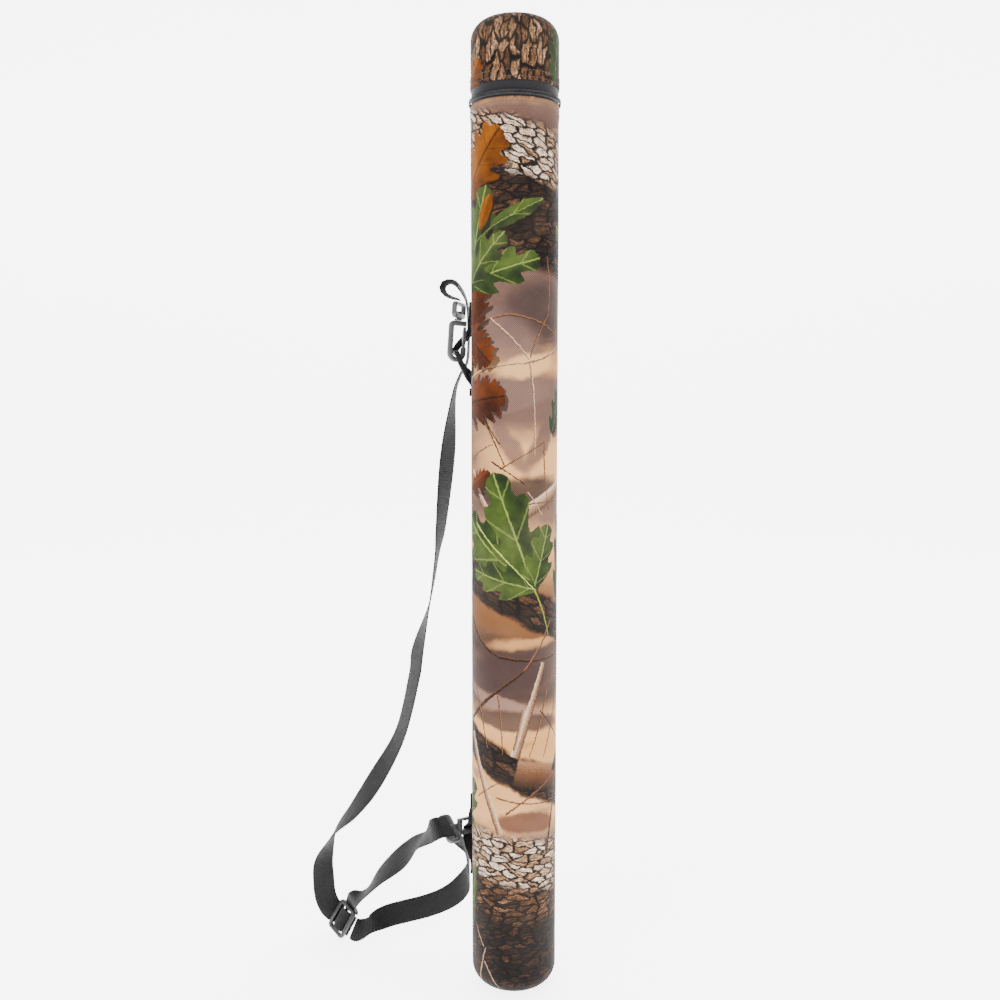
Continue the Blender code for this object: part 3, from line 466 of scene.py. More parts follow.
    p.leaf((-38, 574), (54, 32), 74, RUST, 2.5, 0.4, 0.45)
    p.leaf((-38, 541), (46, 36), -40, RUST, 2.5, 0.4, 0.45)
    p.leaf((-33, 497), (50, 42), 8, RUST, 2.5, 0.4, 0.4)
    p.leaf((-34, 432), (30, 18), 30, RUST, 2.5, 0.45, 0.5)
    p.leaf((-32, 684), (62, 48), 50, GOLD, 2.0, 0.42, 0.4)
    p.spray((-50, 588), ((84, 40, 72), (76, 34, 16), (60, 30, 44)), GREEN, 0.5)
    p.leaf((1, 643), (52, 14), 27, GREEN, 1.0, 0.1, 0.7)
    p.leaf((-26, 645), (30, 12), 66, GOLD, 1.0, 0.1, 0.7)
    p.leaf((45, 492), (48, 22), 66, DEEP_GREEN, 2.0, 0.45, 0.6)
    p.spray((16, 345), ((92, 50, 140), (104, 46, 110), (56, 30, 74), (60, 30, 166)), GREEN, 0.42)
    p.leaf((51, 380), (92, 22), 82, DEEP_GREEN, 2.0, 0.4, 0.6)
    p.stick((-38, 398), (16, 345), 1.5, (srgb(140, 156, 90), srgb(180, 192, 124), srgb(198, 208, 150)), 1.0)
    p.stick((16, 345), (31, 306), 1.7, (srgb(104, 112, 60), srgb(150, 160, 92), srgb(172, 178, 112)), 1.5)
    p.leaf((-44, 80), (62, 13), 84, GREEN, 2.0, 0.45, 0.6)
    p.leaf((42, 772), (54, 26), 80, DEEP_GREEN, 2.0, 0.45, 0.5)
    p.leaf((-42, 750), (32, 24), 50, GOLD, 2.0, 0.45, 0.45)
    p.spray((104, 600), ((74, 36, 150), (84, 38, 118), (52, 28, 184)), GREEN, 0.45)
    p.spray((-104, 500), ((80, 40, 60), (70, 36, 24), (56, 30, 96)), RUST, 0.4)
    p.leaf((92, 446), (56, 36), 120, RUST, 2.5, 0.4, 0.45)
    p.leaf((78, 118), (60, 38), 40, GOLD, 2.0, 0.42, 0.45)
    p.spray((-70, 128), ((86, 42, 100), (70, 34, 140), (62, 32, 62)), GREEN, 0.45)
    p.leaf((-82, 712), (58, 38), 20, GOLD, 2.0, 0.42, 0.45)
    p.leaf((84, 700), (60, 30), 140, DEEP_GREEN, 2.0, 0.42, 0.5)
    p.leaf((74, 320), (52, 34), 10, GOLD, 2.0, 0.42, 0.45)


def weave(n, vector, pitch_mm):
    """Plain weave as a height from 0 to 1: threads over and under, pitch_mm apart."""
    x, y = n.parts(vector)
    turn = math.pi / pitch_mm
    across = n.math("SINE", n.times(x, turn))
    along = n.math("SINE", n.times(y, turn))
    over = n.times(n.times(across, along), 0.5)
    return n.plus(over, 0.5)


def camouflage_material():
    made, n, shader = new_material("camouflage_fabric", roughness=0.8, sheen=0.0, specular=0.1)
    p = Print(n)
    paint_ground(p)
    paint_forest(p)
    thread = weave(n, p.flat, 0.85)
    worn = n.noise(p.flat, 0.02, 3.0)
    # The weave height also scales the print's colour: darker in the hollows between threads as painted
    # shade, lighter on the thread crowns as painted highlight.
    colour = n.mix(1.0, p.colour, n.ramp(thread, [(0.0, (0.55,) * 3), (0.5, (0.97,) * 3),
                                                 (1.0, (1.18,) * 3)]), "MULTIPLY")
    colour = n.mix(n.fade(worn, 0.35, 0.75, 0.0, 0.07), colour, srgb(205, 190, 175))
    colour = n.add("Gamma", {"Color": colour, "Gamma": 1.45})
    colour = n.add("HueSaturation", {"Color": colour, "Saturation": 1.12, "Value": 0.86})
    n.put(shader.inputs["Base Color"], colour)
    n.put(shader.inputs["Roughness"], n.fade(thread, 0.0, 1.0, 0.82, 0.62))
    coarse = bump(n, shader, thread, 0.00018, 0.8)
    bump(n, shader, n.noise(p.flat, 0.12, 3.0), 0.0005, 0.35, after=coarse)
    return made


# ---------------------------------------------------------------- other materials

def object_mm(n):
    place = n.add("TexCoord", out=3)
    return n.add("VectorMath", {0: place, "Scale": 1000.0}, operation="SCALE")


def webbing_material():
    """Black flat webbing: rows of plump stitches across it, tighter at the selvedges."""
    made, n, shader = new_material("webbing", roughness=0.8, sheen=0.08, specular=0.2)
    uv = n.add("UVMap", uv_map="web")
    flat = n.add("VectorMath", {0: uv, "Scale": 1000.0}, operation="SCALE")
    x, y = n.parts(flat)
    rib = n.math("PINGPONG", n.times(x, 0.72), 0.5)
    slant = n.plus(n.times(y, 0.62), n.times(rib, 0.9))
    step = n.math("PINGPONG", slant, 0.5)
    height = n.times(n.fade(step, 0.03, 0.4), n.fade(rib, 0.02, 0.3, 0.35, 1.0))
    edge = n.fade(n.math("ABSOLUTE", x), 8.9, 9.3)
    height = n.math("MAXIMUM", height, n.times(edge, 0.7))
    fuzz = n.noise(flat, 1.4, 3.0, 0.7)
    # Colour follows the stitch height: hollows darker as painted shade, raised stitches and selvedges
    # lighter as painted highlight; the fuzz noise is the yarn's own unevenness.
    tone = n.math("MULTIPLY_ADD", height, 0.65, n.times(fuzz, 0.35))
    n.put(shader.inputs["Base Color"], n.ramp(tone, [(0.1, srgb(6, 6, 7)), (0.6, srgb(19, 19, 20)),
                                                     (1.0, srgb(34, 34, 36))]))
    n.put(shader.inputs["Roughness"], n.fade(fuzz, 0.2, 0.8, 0.68, 0.88))
    bump(n, shader, height, 0.0004, 0.9)
    return made


def tape_material():
    """Zip tape: fine herringbone."""
    made, n, shader = new_material("zip_tape", roughness=0.85, sheen=0.2, specular=0.2)
    place = n.add("TexCoord", out=3)
    x, y = n.parts(place)
    z = n.add("SeparateXYZ", {0: place}, out=2)
    around = n.times(n.math("ARCTAN2", y, x), 36.0)
    up = n.times(z, 1000.0)
    chevron = n.math("PINGPONG", n.times(around, 0.5), 0.5)
    twill = n.math("PINGPONG", n.plus(n.times(up, 1.1), chevron), 0.5)
    # Colour follows the twill height: darker in the hollows as painted shade, lighter on the ridges as
    # painted highlight.
    n.put(shader.inputs["Base Color"], n.ramp(twill, [(0.0, srgb(13, 13, 14)), (0.5, srgb(35, 35, 37))]))
    bump(n, shader, twill, 0.0003, 0.8)
    return made


def nylon_material(name, tone, roughness):
    """Moulded plastic with a fine spark-eroded grain, rubbed smoother here and there."""
    made, n, shader = new_material(name, roughness=roughness, specular=0.5)
    flat = object_mm(n)
    grain = n.noise(flat, 3.2, 3.0, 0.6)
    rubbed = n.noise(flat, 0.12, 3.0)
    dark, light = (tuple(c * f for c in tone) for f in (0.75, 1.25))
    n.put(shader.inputs["Base Color"], n.ramp(rubbed, [(0.3, dark), (0.7, light)]))
    n.put(shader.inputs["Roughness"], n.fade(rubbed, 0.35, 0.65, roughness - 0.1, roughness + 0.1))
    bump(n, shader, grain, 0.00012, 0.35)
    return made


def metal_material():
    """Black lacquered zip metal, worn to grey on its high places."""
    made, n, shader = new_material("zip_slider_metal", roughness=0.35, metallic=0.85)
    flat = object_mm(n)
    wear = n.noise(flat, 0.9, 5.0, 0.7)
    n.put(shader.inputs["Base Color"], n.ramp(wear, [(0.45, srgb(38, 38, 40)), (0.72, srgb(88, 88, 92))]))
    n.put(shader.inputs["Roughness"], n.fade(wear, 0.4, 0.7, 0.42, 0.22))
    bump(n, shader, wear, 0.0001, 0.3)
    return made


def teeth_material():
    made, n, shader = new_material("zip_teeth", roughness=0.38)
    flat = object_mm(n)
    drawn = n.noise(flat, 1.2, 2.0)
    n.put(shader.inputs["Base Color"], n.ramp(drawn, [(0.3, srgb(24, 24, 26)), (0.7, srgb(52, 52, 55))]))
    n.put(shader.inputs["Roughness"], n.fade(drawn, 0.3, 0.7, 0.3, 0.48))
    bump(n, shader, drawn, 0.00008, 0.3)
    return made


def knit_material(name, dark, light, scale):
    """Brushed lining or foam-backed knit."""
    made, n, shader = new_material(name, roughness=0.92, sheen=0.35, specular=0.2)
    flat = object_mm(n)
    pile = n.noise(flat, scale, 4.0, 0.7)
    n.put(shader.inputs["Base Color"], n.ramp(pile, [(0.3, dark), (0.7, light)]))
    bump(n, shader, pile, 0.0004, 0.7)
    return made


def thread_material():
    made, n, shader = new_material("stitch_thread", roughness=0.7, sheen=0.2)
    flat = object_mm(n)
    ply = n.noise(flat, 2.4, 2.0)
    n.put(shader.inputs["Base Color"], n.ramp(ply, [(0.3, srgb(24, 20, 20)), (0.7, srgb(56, 48, 46))]))
    bump(n, shader, ply, 0.0001, 0.5)
    return made


CAMO = camouflage_material()
WEB = webbing_material()
TAPE = tape_material()
NYLON = nylon_material("moulded_nylon", srgb(54, 54, 56), 0.42)
GLIDE_NYLON = nylon_material("moulded_nylon_black", srgb(22, 22, 23), 0.42)
PLASTIC = nylon_material("tube_plastic", srgb(30, 30, 31), 0.5)
METAL = metal_material()
TEETH = teeth_material()
LINING = knit_material("lining_fabric", srgb(26, 26, 28), srgb(48, 48, 51), 1.3)
FOAM = knit_material("foam", srgb(30, 30, 32), srgb(58, 58, 62), 2.2)
THREAD = thread_material()


# ---------------------------------------------------------------- mesh tools

def make(name, vertices, faces, surface, body, replaced=(), uv=None, uv_name="print", sharp=35.0):
    """A mesh piece that rides on a body, with smooth shading and an optional UV for each vertex."""
    mesh = bpy.data.meshes.new(name)
    mesh.from_pydata([tuple(v) for v in vertices], [], faces)
    if uv is not None:
        layer = mesh.uv_layers.new(name=uv_name)
        for polygon in mesh.polygons:
            for loop in polygon.loop_indices:
                layer.data[loop].uv = uv[mesh.loops[loop].vertex_index]
    return finish_piece(name, mesh, surface, body, replaced, sharp)


def finish_piece(name, mesh, surface, body, replaced=(), sharp=35.0):
    mesh.materials.clear()
    mesh.materials.append(surface)
    mesh.shade_smooth()
    mesh.set_sharp_from_angle(angle=math.radians(sharp))
    made = bpy.data.objects.new(name, mesh)
    bpy.context.scene.collection.objects.link(made)
    if body is not None:
        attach(made, body)
    if replaced:
        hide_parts(*replaced)
    return made


def curve_mesh(name, outlines, thickness, bevel):
    """A bevelled plate from closed outlines in the XY plane."""
    curve = bpy.data.curves.new(name, "CURVE")
    curve.dimensions = "2D"
    curve.fill_mode = "BOTH"
    curve.extrude = thickness / 2 - bevel
    curve.bevel_depth = bevel
    curve.bevel_resolution = 3
    curve.use_fill_caps = True
    for points in outlines:
        spline = curve.splines.new("POLY")
        spline.points.add(len(points) - 1)
        for place, point in zip(spline.points, points):
            place.co = (*point, 0.0, 1.0)
        spline.use_cyclic_u = True
    holder = bpy.data.objects.new(name, curve)
    bpy.context.scene.collection.objects.link(holder)
    bpy.context.view_layer.update()
    graph = bpy.context.evaluated_depsgraph_get()
    mesh = bpy.data.meshes.new_from_object(holder.evaluated_get(graph))
    bpy.data.objects.remove(holder, do_unlink=True)
    bpy.data.curves.remove(curve)
    welded = bmesh.new()
    welded.from_mesh(mesh)
    bmesh.ops.remove_doubles(welded, verts=welded.verts, dist=0.000004)
    welded.to_mesh(mesh)
    welded.free()
    return mesh


def arc(centre, radius, start, end, count):
    turn = [math.radians(start + (end - start) * i / count) for i in range(count + 1)]
    return [(centre[0] + radius * math.cos(a), centre[1] + radius * math.sin(a)) for a in turn]


def rounded_box(width, height, radius, count=5):
    x, y = width / 2 - radius, height / 2 - radius
    points = []
    for sx, sy, start in ((1, 1, 0), (-1, 1, 90), (-1, -1, 180), (1, -1, 270)):
        points += arc((sx * x, sy * y), radius, start, start + 90, count)
    return points


def shifted(points, dx, dy):
    return [(x + dx, y + dy) for x, y in points]


def frame_of(origin, up, side):
    """World matrix at origin with local Z along up and local X near side."""
    z = Vector(up).normalized()
    x = (Vector(side) - Vector(side).dot(z) * z).normalized()
    return Matrix.Translation(origin) @ Matrix((x, z.cross(x), z)).transposed().to_4x4()


def turned_about(axis, degrees):
    return Matrix.Rotation(math.radians(degrees), 4, axis)


def on_case(azimuth, radius, height):
    a = math.radians(azimuth)
    return Vector((radius * math.cos(a), radius * math.sin(a), height))


# ---------------------------------------------------------------- strap

def catmull(a, b, c, d, u):
    return b + 0.5 * u * (c - a + u * (2 * a - 5 * b + 4 * c - d + u * (3 * (b - c) + d - a)))


def smooth_route(rows, spacing):
    """Rows of ((x, y, z) in mm, across vector) on one smooth curve.

    A row where the webbing is bunched goes on with its width and thickness factors.
    """
    keys = [[*Vector(p) * MM, *Vector(a).normalized(), *(bunched or (1, 1))] for p, a, *bunched in rows]
    keys = [[2 * a - b for a, b in zip(keys[0], keys[1])]] + keys
    keys += [[2 * a - b for a, b in zip(keys[-1], keys[-2])]]
    out = []
    for i in range(1, len(keys) - 2):
        count = max(1, round(math.dist(keys[i][:3], keys[i + 1][:3]) / spacing))
        for step in range(count):
            out.append([catmull(keys[i - 1][k], keys[i][k], keys[i + 1][k], keys[i + 2][k], step / count)
                        for k in range(8)])
    out.append(keys[-2])
    return out


def webbing(name, rows, body, node, spacing=2.5 * MM):
    """A band of webbing with rounded selvedges along a route; returns the piece and its centreline."""
    places = smooth_route(rows, spacing)
    section = [(math.cos(math.radians(t)), math.sin(math.radians(t))) for t in range(0, 360, 12)]
    vertices, uv = [], []
    travelled = 0.0
    for i, row in enumerate(places):
        before, after = places[max(i - 1, 0)], places[min(i + 1, len(places) - 1)]
        along = (Vector(after[:3]) - Vector(before[:3])).normalized()
        across = Vector(row[3:6])
        across = (across - across.dot(along) * along).normalized()
        normal = along.cross(across)
        here = Vector(row[:3])
        if i:
            travelled += (here - Vector(before[:3])).length
        half_w, half_t = WEB_WIDTH / 2 * row[6], WEB_THICKNESS / 2 * row[7]
        bunch = 1.0 - row[6]
        for c, s in section:
            x = math.copysign(abs(c) ** 0.6, c)
            y = math.copysign(abs(s) ** 0.35, s) * (1 - 0.3 * abs(c) ** 8)
            fold = bunch * 0.5 * half_t * math.sin(x * 8.0)
            vertices.append(here + across * half_w * x + normal * (half_t * y + fold))
            uv.append((x * WEB_WIDTH / 2, travelled))
    size = len(section)
    faces = [(i * size + k, i * size + (k + 1) % size, (i + 1) * size + (k + 1) % size, (i + 1) * size + k)
             for i in range(len(places) - 1) for k in range(size)]
    faces += [tuple(range(size))[::-1], tuple(range(len(vertices) - size, len(vertices)))]
    made = make(name, vertices, faces, WEB, body, [node], uv, "web", sharp=60)
    path = [tuple(row[:3]) for row in places]
    return made, path, travelled


ANCHOR_UPPER = [
    ((-32.4, 18.7, 500), (0.5, 0.866, 0)), ((-32.4, 18.7, 510), (0.5, 0.866, 0)),
    ((-37.4, 12.5, 517), (0.45, 0.89, 0.1), 0.6, 1.6), ((-41.5, 5.0, 523), (0.6, 0.6, 0.5), 0.3, 2.4),
    ((-45.0, 2.0, 529.5), (0.8, 0.3, 0.3), 0.25, 2.6), ((-46.9, 3.0, 534.8), (0.94, 0.34, 0.1), 0.22, 2.4),
    ((-48.0, 8.0, 536.2), (0.94, 0.34, 0.1), 0.22, 2.4),
    ((-49.3, 12.6, 537.6), (0.94, 0.34, 0.1), 0.25, 2.4), ((-46.5, 16.0, 543.0), (0.9, 0.5, 0.1), 0.3, 2.4),
    ((-38.2, 17.8, 552), (0.6, 0.8, 0), 0.4, 2.0), ((-34.2, 20.0, 560), (0.5, 0.866, 0)),
    ((-32.4, 18.7, 568), (0.5, 0.866, 0)), ((-32.4, 18.7, 578), (0.5, 0.866, 0))]

ANCHOR_LOWER = [
    ((-32.4, 18.7, 88), (0.5, 0.866, 0)), ((-32.4, 18.7, 98), (0.5, 0.866, 0)),
    ((-34.6, 24.9, 108), (0.72, 0.69, 0)), ((-36.0, 29.0, 116), (0.84, 0.54, 0)),
    ((-36.0, 29.2, 121), (0.84, 0.54, 0)), ((-35.4, 28.2, 124.8), (0.84, 0.54, 0)),
    ((-33.8, 25.8, 127.2), (0.84, 0.54, 0)), ((-32.2, 23.4, 129.8), (0.84, 0.54, 0)),
    ((-32.2, 22.6, 133.8), (0.78, 0.63, 0)), ((-33.0, 21.4, 141), (0.60, 0.80, 0)),
    ((-32.4, 18.7, 149), (0.5, 0.866, 0)), ((-32.4, 18.7, 159), (0.5, 0.866, 0))]

STRAP_MAIN = [
    ((-45.4, 8.4, 579.4), (0.25, 0.97, 0)), ((-49.3, 8.8, 580.6), (0.25, 0.96, 0.1)),
    ((-54.0, 10.0, 582.6), (0.25, 0.95, 0.1)), ((-57.3, 12.3, 586.5), (0.2, 0.95, 0.15)),
    ((-57.0, 15.3, 591.0), (0.15, 0.95, 0.2)), ((-53.2, 18.8, 593.8), (0.12, 0.95, 0.25)),
    ((-48.2, 22.8, 592.8), (0.1, 0.95, 0.25)), ((-43.6, 27.6, 588.0), (0.08, 0.98, 0.15)),
    ((-40.2, 31.8, 580.0), (0.05, 1, 0.05)), ((-38.7, 33.0, 566.0), (0.05, 1, 0)),
    ((-39.4, 32.8, 532.0), (0.05, 1, 0)), ((-46.0, 33.0, 518.0), (0.05, 1, 0)),
    ((-51.7, 34.0, 499.0), (0.15, 1, 0)), ((-57.2, 37.0, 448.4), (0.60, 0.8, 0)),
    ((-63.4, 42.0, 387.9), (0.40, 0.92, 0)), ((-66.9, 44.0, 362.9), (0.15, 1, 0)),
    ((-74.2, 48.0, 317.8), (-0.05, 1, 0)), ((-85.2, 54.0, 275.0), (-0.55, 0.82, 0)),
    ((-89.2, 57.0, 248.7), (-0.55, 0.85, 0)), ((-102.7, 63.0, 195.3), (-0.5, 0.85, 0.1)),
    ((-126.4, 67.0, 150.8), (-0.65, 0.7, 0.35)), ((-146.0, 70.5, 122.0), (-0.45, 0.85, 0.2)),
    ((-164.8, 74.0, 99.7), (0.0, 1.0, 0.0)), ((-176.0, 78.0, 72.0), (0.75, 0.65, 0.0)),
    ((-177.0, 80.0, 50.0), (0.93, 0.35, 0.1)), ((-175.5, 82.5, 32.0), (0.85, 0.25, 0.45)),
    ((-169.7, 84.9, 17.9), (0.48, 0.05, 0.88)), ((-165.4, 82.7, 18.4), (0.48, 0.05, 0.88)),
    ((-162.7, 80.2, 17.7), (0.48, 0.05, 0.88)), ((-161.9, 77.8, 17.4), (0.48, 0.05, 0.88)),
    ((-162.1, 75.5, 17.7), (0.48, 0.05, 0.88)), ((-162.4, 73.2, 18.0), (0.48, 0.05, 0.88)),
    ((-161.7, 71.2, 17.7), (0.48, 0.05, 0.88)), ((-159.6, 69.0, 16.7), (0.48, 0.05, 0.88)),
    ((-157.9, 68.1, 15.8), (0.48, 0.05, 0.88)), ((-155.9, 68.5, 14.7), (0.48, 0.05, 0.88)),
    ((-153.8, 68.9, 13.6), (0.48, 0.05, 0.88)), ((-151.7, 68.0, 12.4), (0.48, 0.05, 0.88)),
    ((-149.4, 65.4, 11.3), (0.48, 0.05, 0.88))]

STRAP_RUN = [
    ((-147.2, 63.1, 11.3), (0.48, 0.05, 0.88)), ((-143.5, 60.1, 10.9), (0.3, 0.45, 0.85)),
    ((-137.5, 58.0, 13.6), (0.1, 0.75, 0.65)), ((-130.0, 57.8, 17.8), (0.0, 0.9, 0.43)),
    ((-114.5, 63.0, 23.6), (-0.15, 0.5, 0.85)), ((-78.4, 58.0, 35.6), (-0.3, 0.3, 0.9)),
    ((-57.4, 52.0, 47.6), (-0.4, 0.35, 0.85)), ((-45.3, 46.0, 61.7), (-0.4, 0.6, 0.7)),
    ((-40.0, 40.0, 78.0), (-0.1, 0.95, 0.3)), ((-40.5, 33.5, 93.0), (0.05, 1, 0.1)),
    ((-43.5, 27.0, 106.0), (-0.1, 0.95, 0.3)), ((-50.5, 20.0, 115.5), (-0.3, 0.8, 0.5)),
    ((-57.6, 12.9, 124.6), (-0.38, 0.72, 0.58))]

STRAP_RETURN = [
    ((-55.1, 9.4, 131.0), (-0.44, 0.69, 0.57)), ((-59.2, 6.8, 131.2), (-0.44, 0.69, 0.57)),
    ((-64.8, 4.6, 131.0), (-0.44, 0.69, 0.57)), ((-70.5, 8.5, 127.0), (-0.35, 0.78, 0.5)),
    ((-75.0, 18.0, 120.0), (-0.1, 0.9, 0.4)), ((-81.0, 28.0, 110.5), (0.1, 0.95, 0.2)),
    ((-90.5, 38.0, 99.7), (-0.2, 0.85, 0.4)), ((-103.0, 46.0, 84.6), (-0.45, 0.7, 0.5)),
    ((-121.3, 55.0, 65.1), (-0.2, 0.9, 0.3)), ((-135.2, 60.0, 46.6), (0.0, 1, 0)),
    ((-145.0, 62.5, 38.5), (-0.3, 0.9, 0.2)), ((-149.0, 73.0, 30.0), (-0.6, 0.75, 0.3)),
    ((-150.5, 75.2, 24.0), (-0.64, 0.7, 0.3))]

GLIDE_CENTRE = Vector((-159.0, 72.0, 16.2)) * MM
GLIDE_ACROSS = Vector((0.48, 0.05, 0.88))
GLIDE_ALONG = Vector((0.76, -0.65, 0.0))
NYLON_BAR = 3.4 * MM


def build_glide():
    """Three-bar slide with softened edges."""
    slot = WEB_WIDTH + 2 * MM
    length, thickness = 23.0 * MM, 3.0 * MM
    bevel = 0.6 * MM
    slot_length = (length - 3 * NYLON_BAR) / 2
    offset = (slot_length + NYLON_BAR) / 2
    holes = [shifted(rounded_box(slot + 2 * bevel, slot_length + 2 * bevel, 1.8 * MM, 3), 0, side * offset)
             for side in (-1, 1)]
    outer = rounded_box(slot + 2 * NYLON_BAR - 2 * bevel, length - 2 * bevel, 3.2 * MM)
    mesh = curve_mesh("glide", [outer, *holes], thickness, bevel)
    mesh.transform(frame_of(GLIDE_CENTRE, GLIDE_ALONG.cross(GLIDE_ACROSS), GLIDE_ACROSS))
    return finish_piece("glide_moulding", mesh, GLIDE_NYLON, "case", ["tri_glide"])


glide = build_glide()
for piece_name, rows, node in (("strap_long", STRAP_MAIN, "strap_main"),
                               ("strap_low", STRAP_RUN, "strap_lower_run"),
                               ("strap_back", STRAP_RETURN, "strap_return_run")):
    band, path, length = webbing(piece_name, rows, "case", node)
webbing("anchor_upper", ANCHOR_UPPER, "case", "anchor_strap_upper", 1.5 * MM)
webbing("anchor_lower", ANCHOR_LOWER, "case", "anchor_strap_lower", 1.5 * MM)


# ---------------------------------------------------------------- hooks

EYE_HEIGHT, EYE_BASE, EYE_BAR, EYE_THICKNESS = 13.0 * MM, 4.0 * MM, 2.8 * MM, 4.2 * MM
HOOK_LENGTH, HOOK_WIDTH, HOOK_WIRE, HOOK_DEPTH = 34.0 * MM, 15.4 * MM, 4.2 * MM, 4.4 * MM
GATE_WIDTH, NOSE_HEIGHT, COLLAR = 2.4 * MM, 11.0 * MM, 1.5 * MM


def thick_path(points, half):
    left, right = [], []
    for i, (x, y) in enumerate(points):
        ax, ay = points[max(i - 1, 0)]
        bx, by = points[min(i + 1, len(points) - 1)]
        length = math.hypot(bx - ax, by - ay)
        nx, ny = -(by - ay) / length, (bx - ax) / length
        left.append((x + nx * half, y + ny * half))
        right.append((x - nx * half, y - ny * half))
    return left + right[::-1]


def build_hook(prefix, at, eye_turn):
    """Swivel snap hook in softened mouldings; at is its world matrix, +Z up through the eye."""
    slot = WEB_WIDTH + 2 * MM
    bevel = 1.1 * MM
    window = EYE_HEIGHT - EYE_BASE - EYE_BAR
    outer = shifted(rounded_box(slot + 2 * EYE_BAR - 2 * bevel, EYE_HEIGHT - 2 * bevel, 3 * MM),
                    0, EYE_HEIGHT / 2)
    hole = shifted(rounded_box(slot + 2 * bevel, window + 2 * bevel, 2 * MM), 0, EYE_BASE + window / 2)
    mesh = curve_mesh("eye", [outer, hole], EYE_THICKNESS, bevel)
    mesh.transform(at @ turned_about("Z", eye_turn) @ turned_about("X", 90))
    finish_piece(prefix + "_eye", mesh, NYLON, "case", [prefix + "_hook_eye"])

    half = HOOK_WIRE / 2
    top = -COLLAR - 2 * GAP
    bottom = top - HOOK_LENGTH
    back = half - HOOK_WIDTH / 2
    gate = HOOK_WIDTH / 2 - GATE_WIDTH / 2 - 0.6 * MM
    shoulder = top - half
    foot = (gate - back) / 2
    path = [(gate, shoulder), (gate / 2, shoulder), (0.0, shoulder),
            *arc((back + half, shoulder - half), half, 90, 180, 4),
            *arc((back + foot, bottom + half + foot), foot, 180, 360, 16), (gate, bottom + NOSE_HEIGHT)]
    bevel = 1.2 * MM
    outline = thick_path(path, half - bevel)
    mesh = curve_mesh("hook", [outline], HOOK_DEPTH, bevel)
    mesh.transform(at @ turned_about("X", 90))
    finish_piece(prefix + "_clip", mesh, NYLON, prefix + "_hook", [prefix + "_hook_body"])

    pivot = shoulder - half - GAP - GATE_WIDTH / 2
    length = pivot - (bottom + NOSE_HEIGHT + GAP)
    reach = GATE_WIDTH / 2
    bevel = 0.5 * MM
    tongue = [*arc((0.0, 0.0), reach - bevel, 0, 180, 8), (bevel - reach, bevel - length),
              (reach - bevel, bevel - length)]
    mesh = curve_mesh("gate", [shifted(tongue, gate, pivot)], HOOK_DEPTH * 0.7, bevel)
    mesh.transform(at @ turned_about("X", 90))
    finish_piece(prefix + "_tongue", mesh, NYLON, prefix + "_gate", [prefix + "_hook_gate"])


build_hook("upper", frame_of(Vector((-46.2, 8.0, 564.5)) * MM, (0.07, 0, 1), (0.94, 0.34, 0)), 55.0)
build_hook("lower", frame_of(Vector((-50.6, 15.2, 127.2)) * MM, (-0.84, -0.54, 0.02), (0, 0, 1)), 55.0)


# ---------------------------------------------------------------- fabric covers

HEM = 10.5 * MM          # double layer at the zip's edge
SEAM_AZIMUTH = 90.0      # the print's two edges are sewn together at the back


def hem_lift(inside):
    """Extra radius where the fabric is doubled; inside is how far past the hem's edge."""
    return 0.35 * MM * min(1.0, max(0.0, 0.5 + inside / (0.8 * MM)))


def wrinkle(azimuth, height):
    """Small unevenness of fabric drawn over a hard tube."""
    a = math.radians(azimuth)
    here = Vector((math.cos(a) * 1.6, math.sin(a) * 1.6, height * 14.0))
    fine = Vector((math.cos(a) * 4.0, math.sin(a) * 4.0, height * 60.0))
    return 0.28 * MM * noise.noise(here) + 0.12 * MM * noise.noise(fine)


def back_seam(azimuth):
    """Height of the ridge where the print's edges are joined."""
    off = (azimuth - SEAM_AZIMUTH + 180) % 360 - 180
    return 0.9 * MM * math.exp(-(off / 3.2) ** 2) - 0.25 * MM * math.exp(-(off / 0.7) ** 2)


def revolve_cover(name, profile, body, replaced):
    """Fabric turned about Z; profile rows are (radius, height, height on the print, wrinkled share)."""
    columns = 180
    vertices, uv, faces = [], [], []
    for radius, height, on_print, share in profile:
        for k in range(columns + 1):
            azimuth = SEAM_AZIMUTH + 360.0 * k / columns
            r = radius + share * (wrinkle(azimuth, height) + back_seam(azimuth))
            vertices.append(on_case(azimuth, r, height))
            uv.append(((k / columns - 0.5) * math.tau * RADIUS, on_print))
    row = columns + 1
    for i in range(len(profile) - 1):
        for k in range(columns):
            a = i * row + k
            faces.append((a, a + 1, a + row + 1, a + row))
    return make(name, vertices, faces, CAMO, body, replaced, uv, "print", sharp=50)


def body_profile():
    rows = [(RADIUS - RIM + 0.1 * MM, 0.25 * MM, -26 * MM, 0.0)]
    for i in range(13):
        a = math.radians(-90 + 90 * i / 12)
        rows.append((RADIUS - RIM + RIM * math.cos(a), RIM + RIM * math.sin(a),
                     RIM + RIM * math.radians(-90 + 90 * i / 12), 0.2 * i / 12))
    steps = 170
    for i in range(1, steps + 1):
        z = RIM + (COVER_TOP - 0.6 * MM - RIM) * i / steps
        held = 0.4 if i > steps - 4 else 1
        rows.append((RADIUS + hem_lift(z - COVER_TOP + HEM), z, z, 0.2 + 0.8 * min(1.0, i / 12) * held))
    for i in range(1, 7):
        a = math.radians(30 * i)
        rows.append((RADIUS - 0.5 * MM + 0.85 * MM * math.cos(a),
                     COVER_TOP - 0.6 * MM + 0.6 * MM * math.sin(a), COVER_TOP + 0.3 * MM * i, 0.2))
    rows.append((RADIUS - 1.35 * MM, COVER_TOP - 2 * MM, COVER_TOP + 4 * MM, 0.0))
    return rows


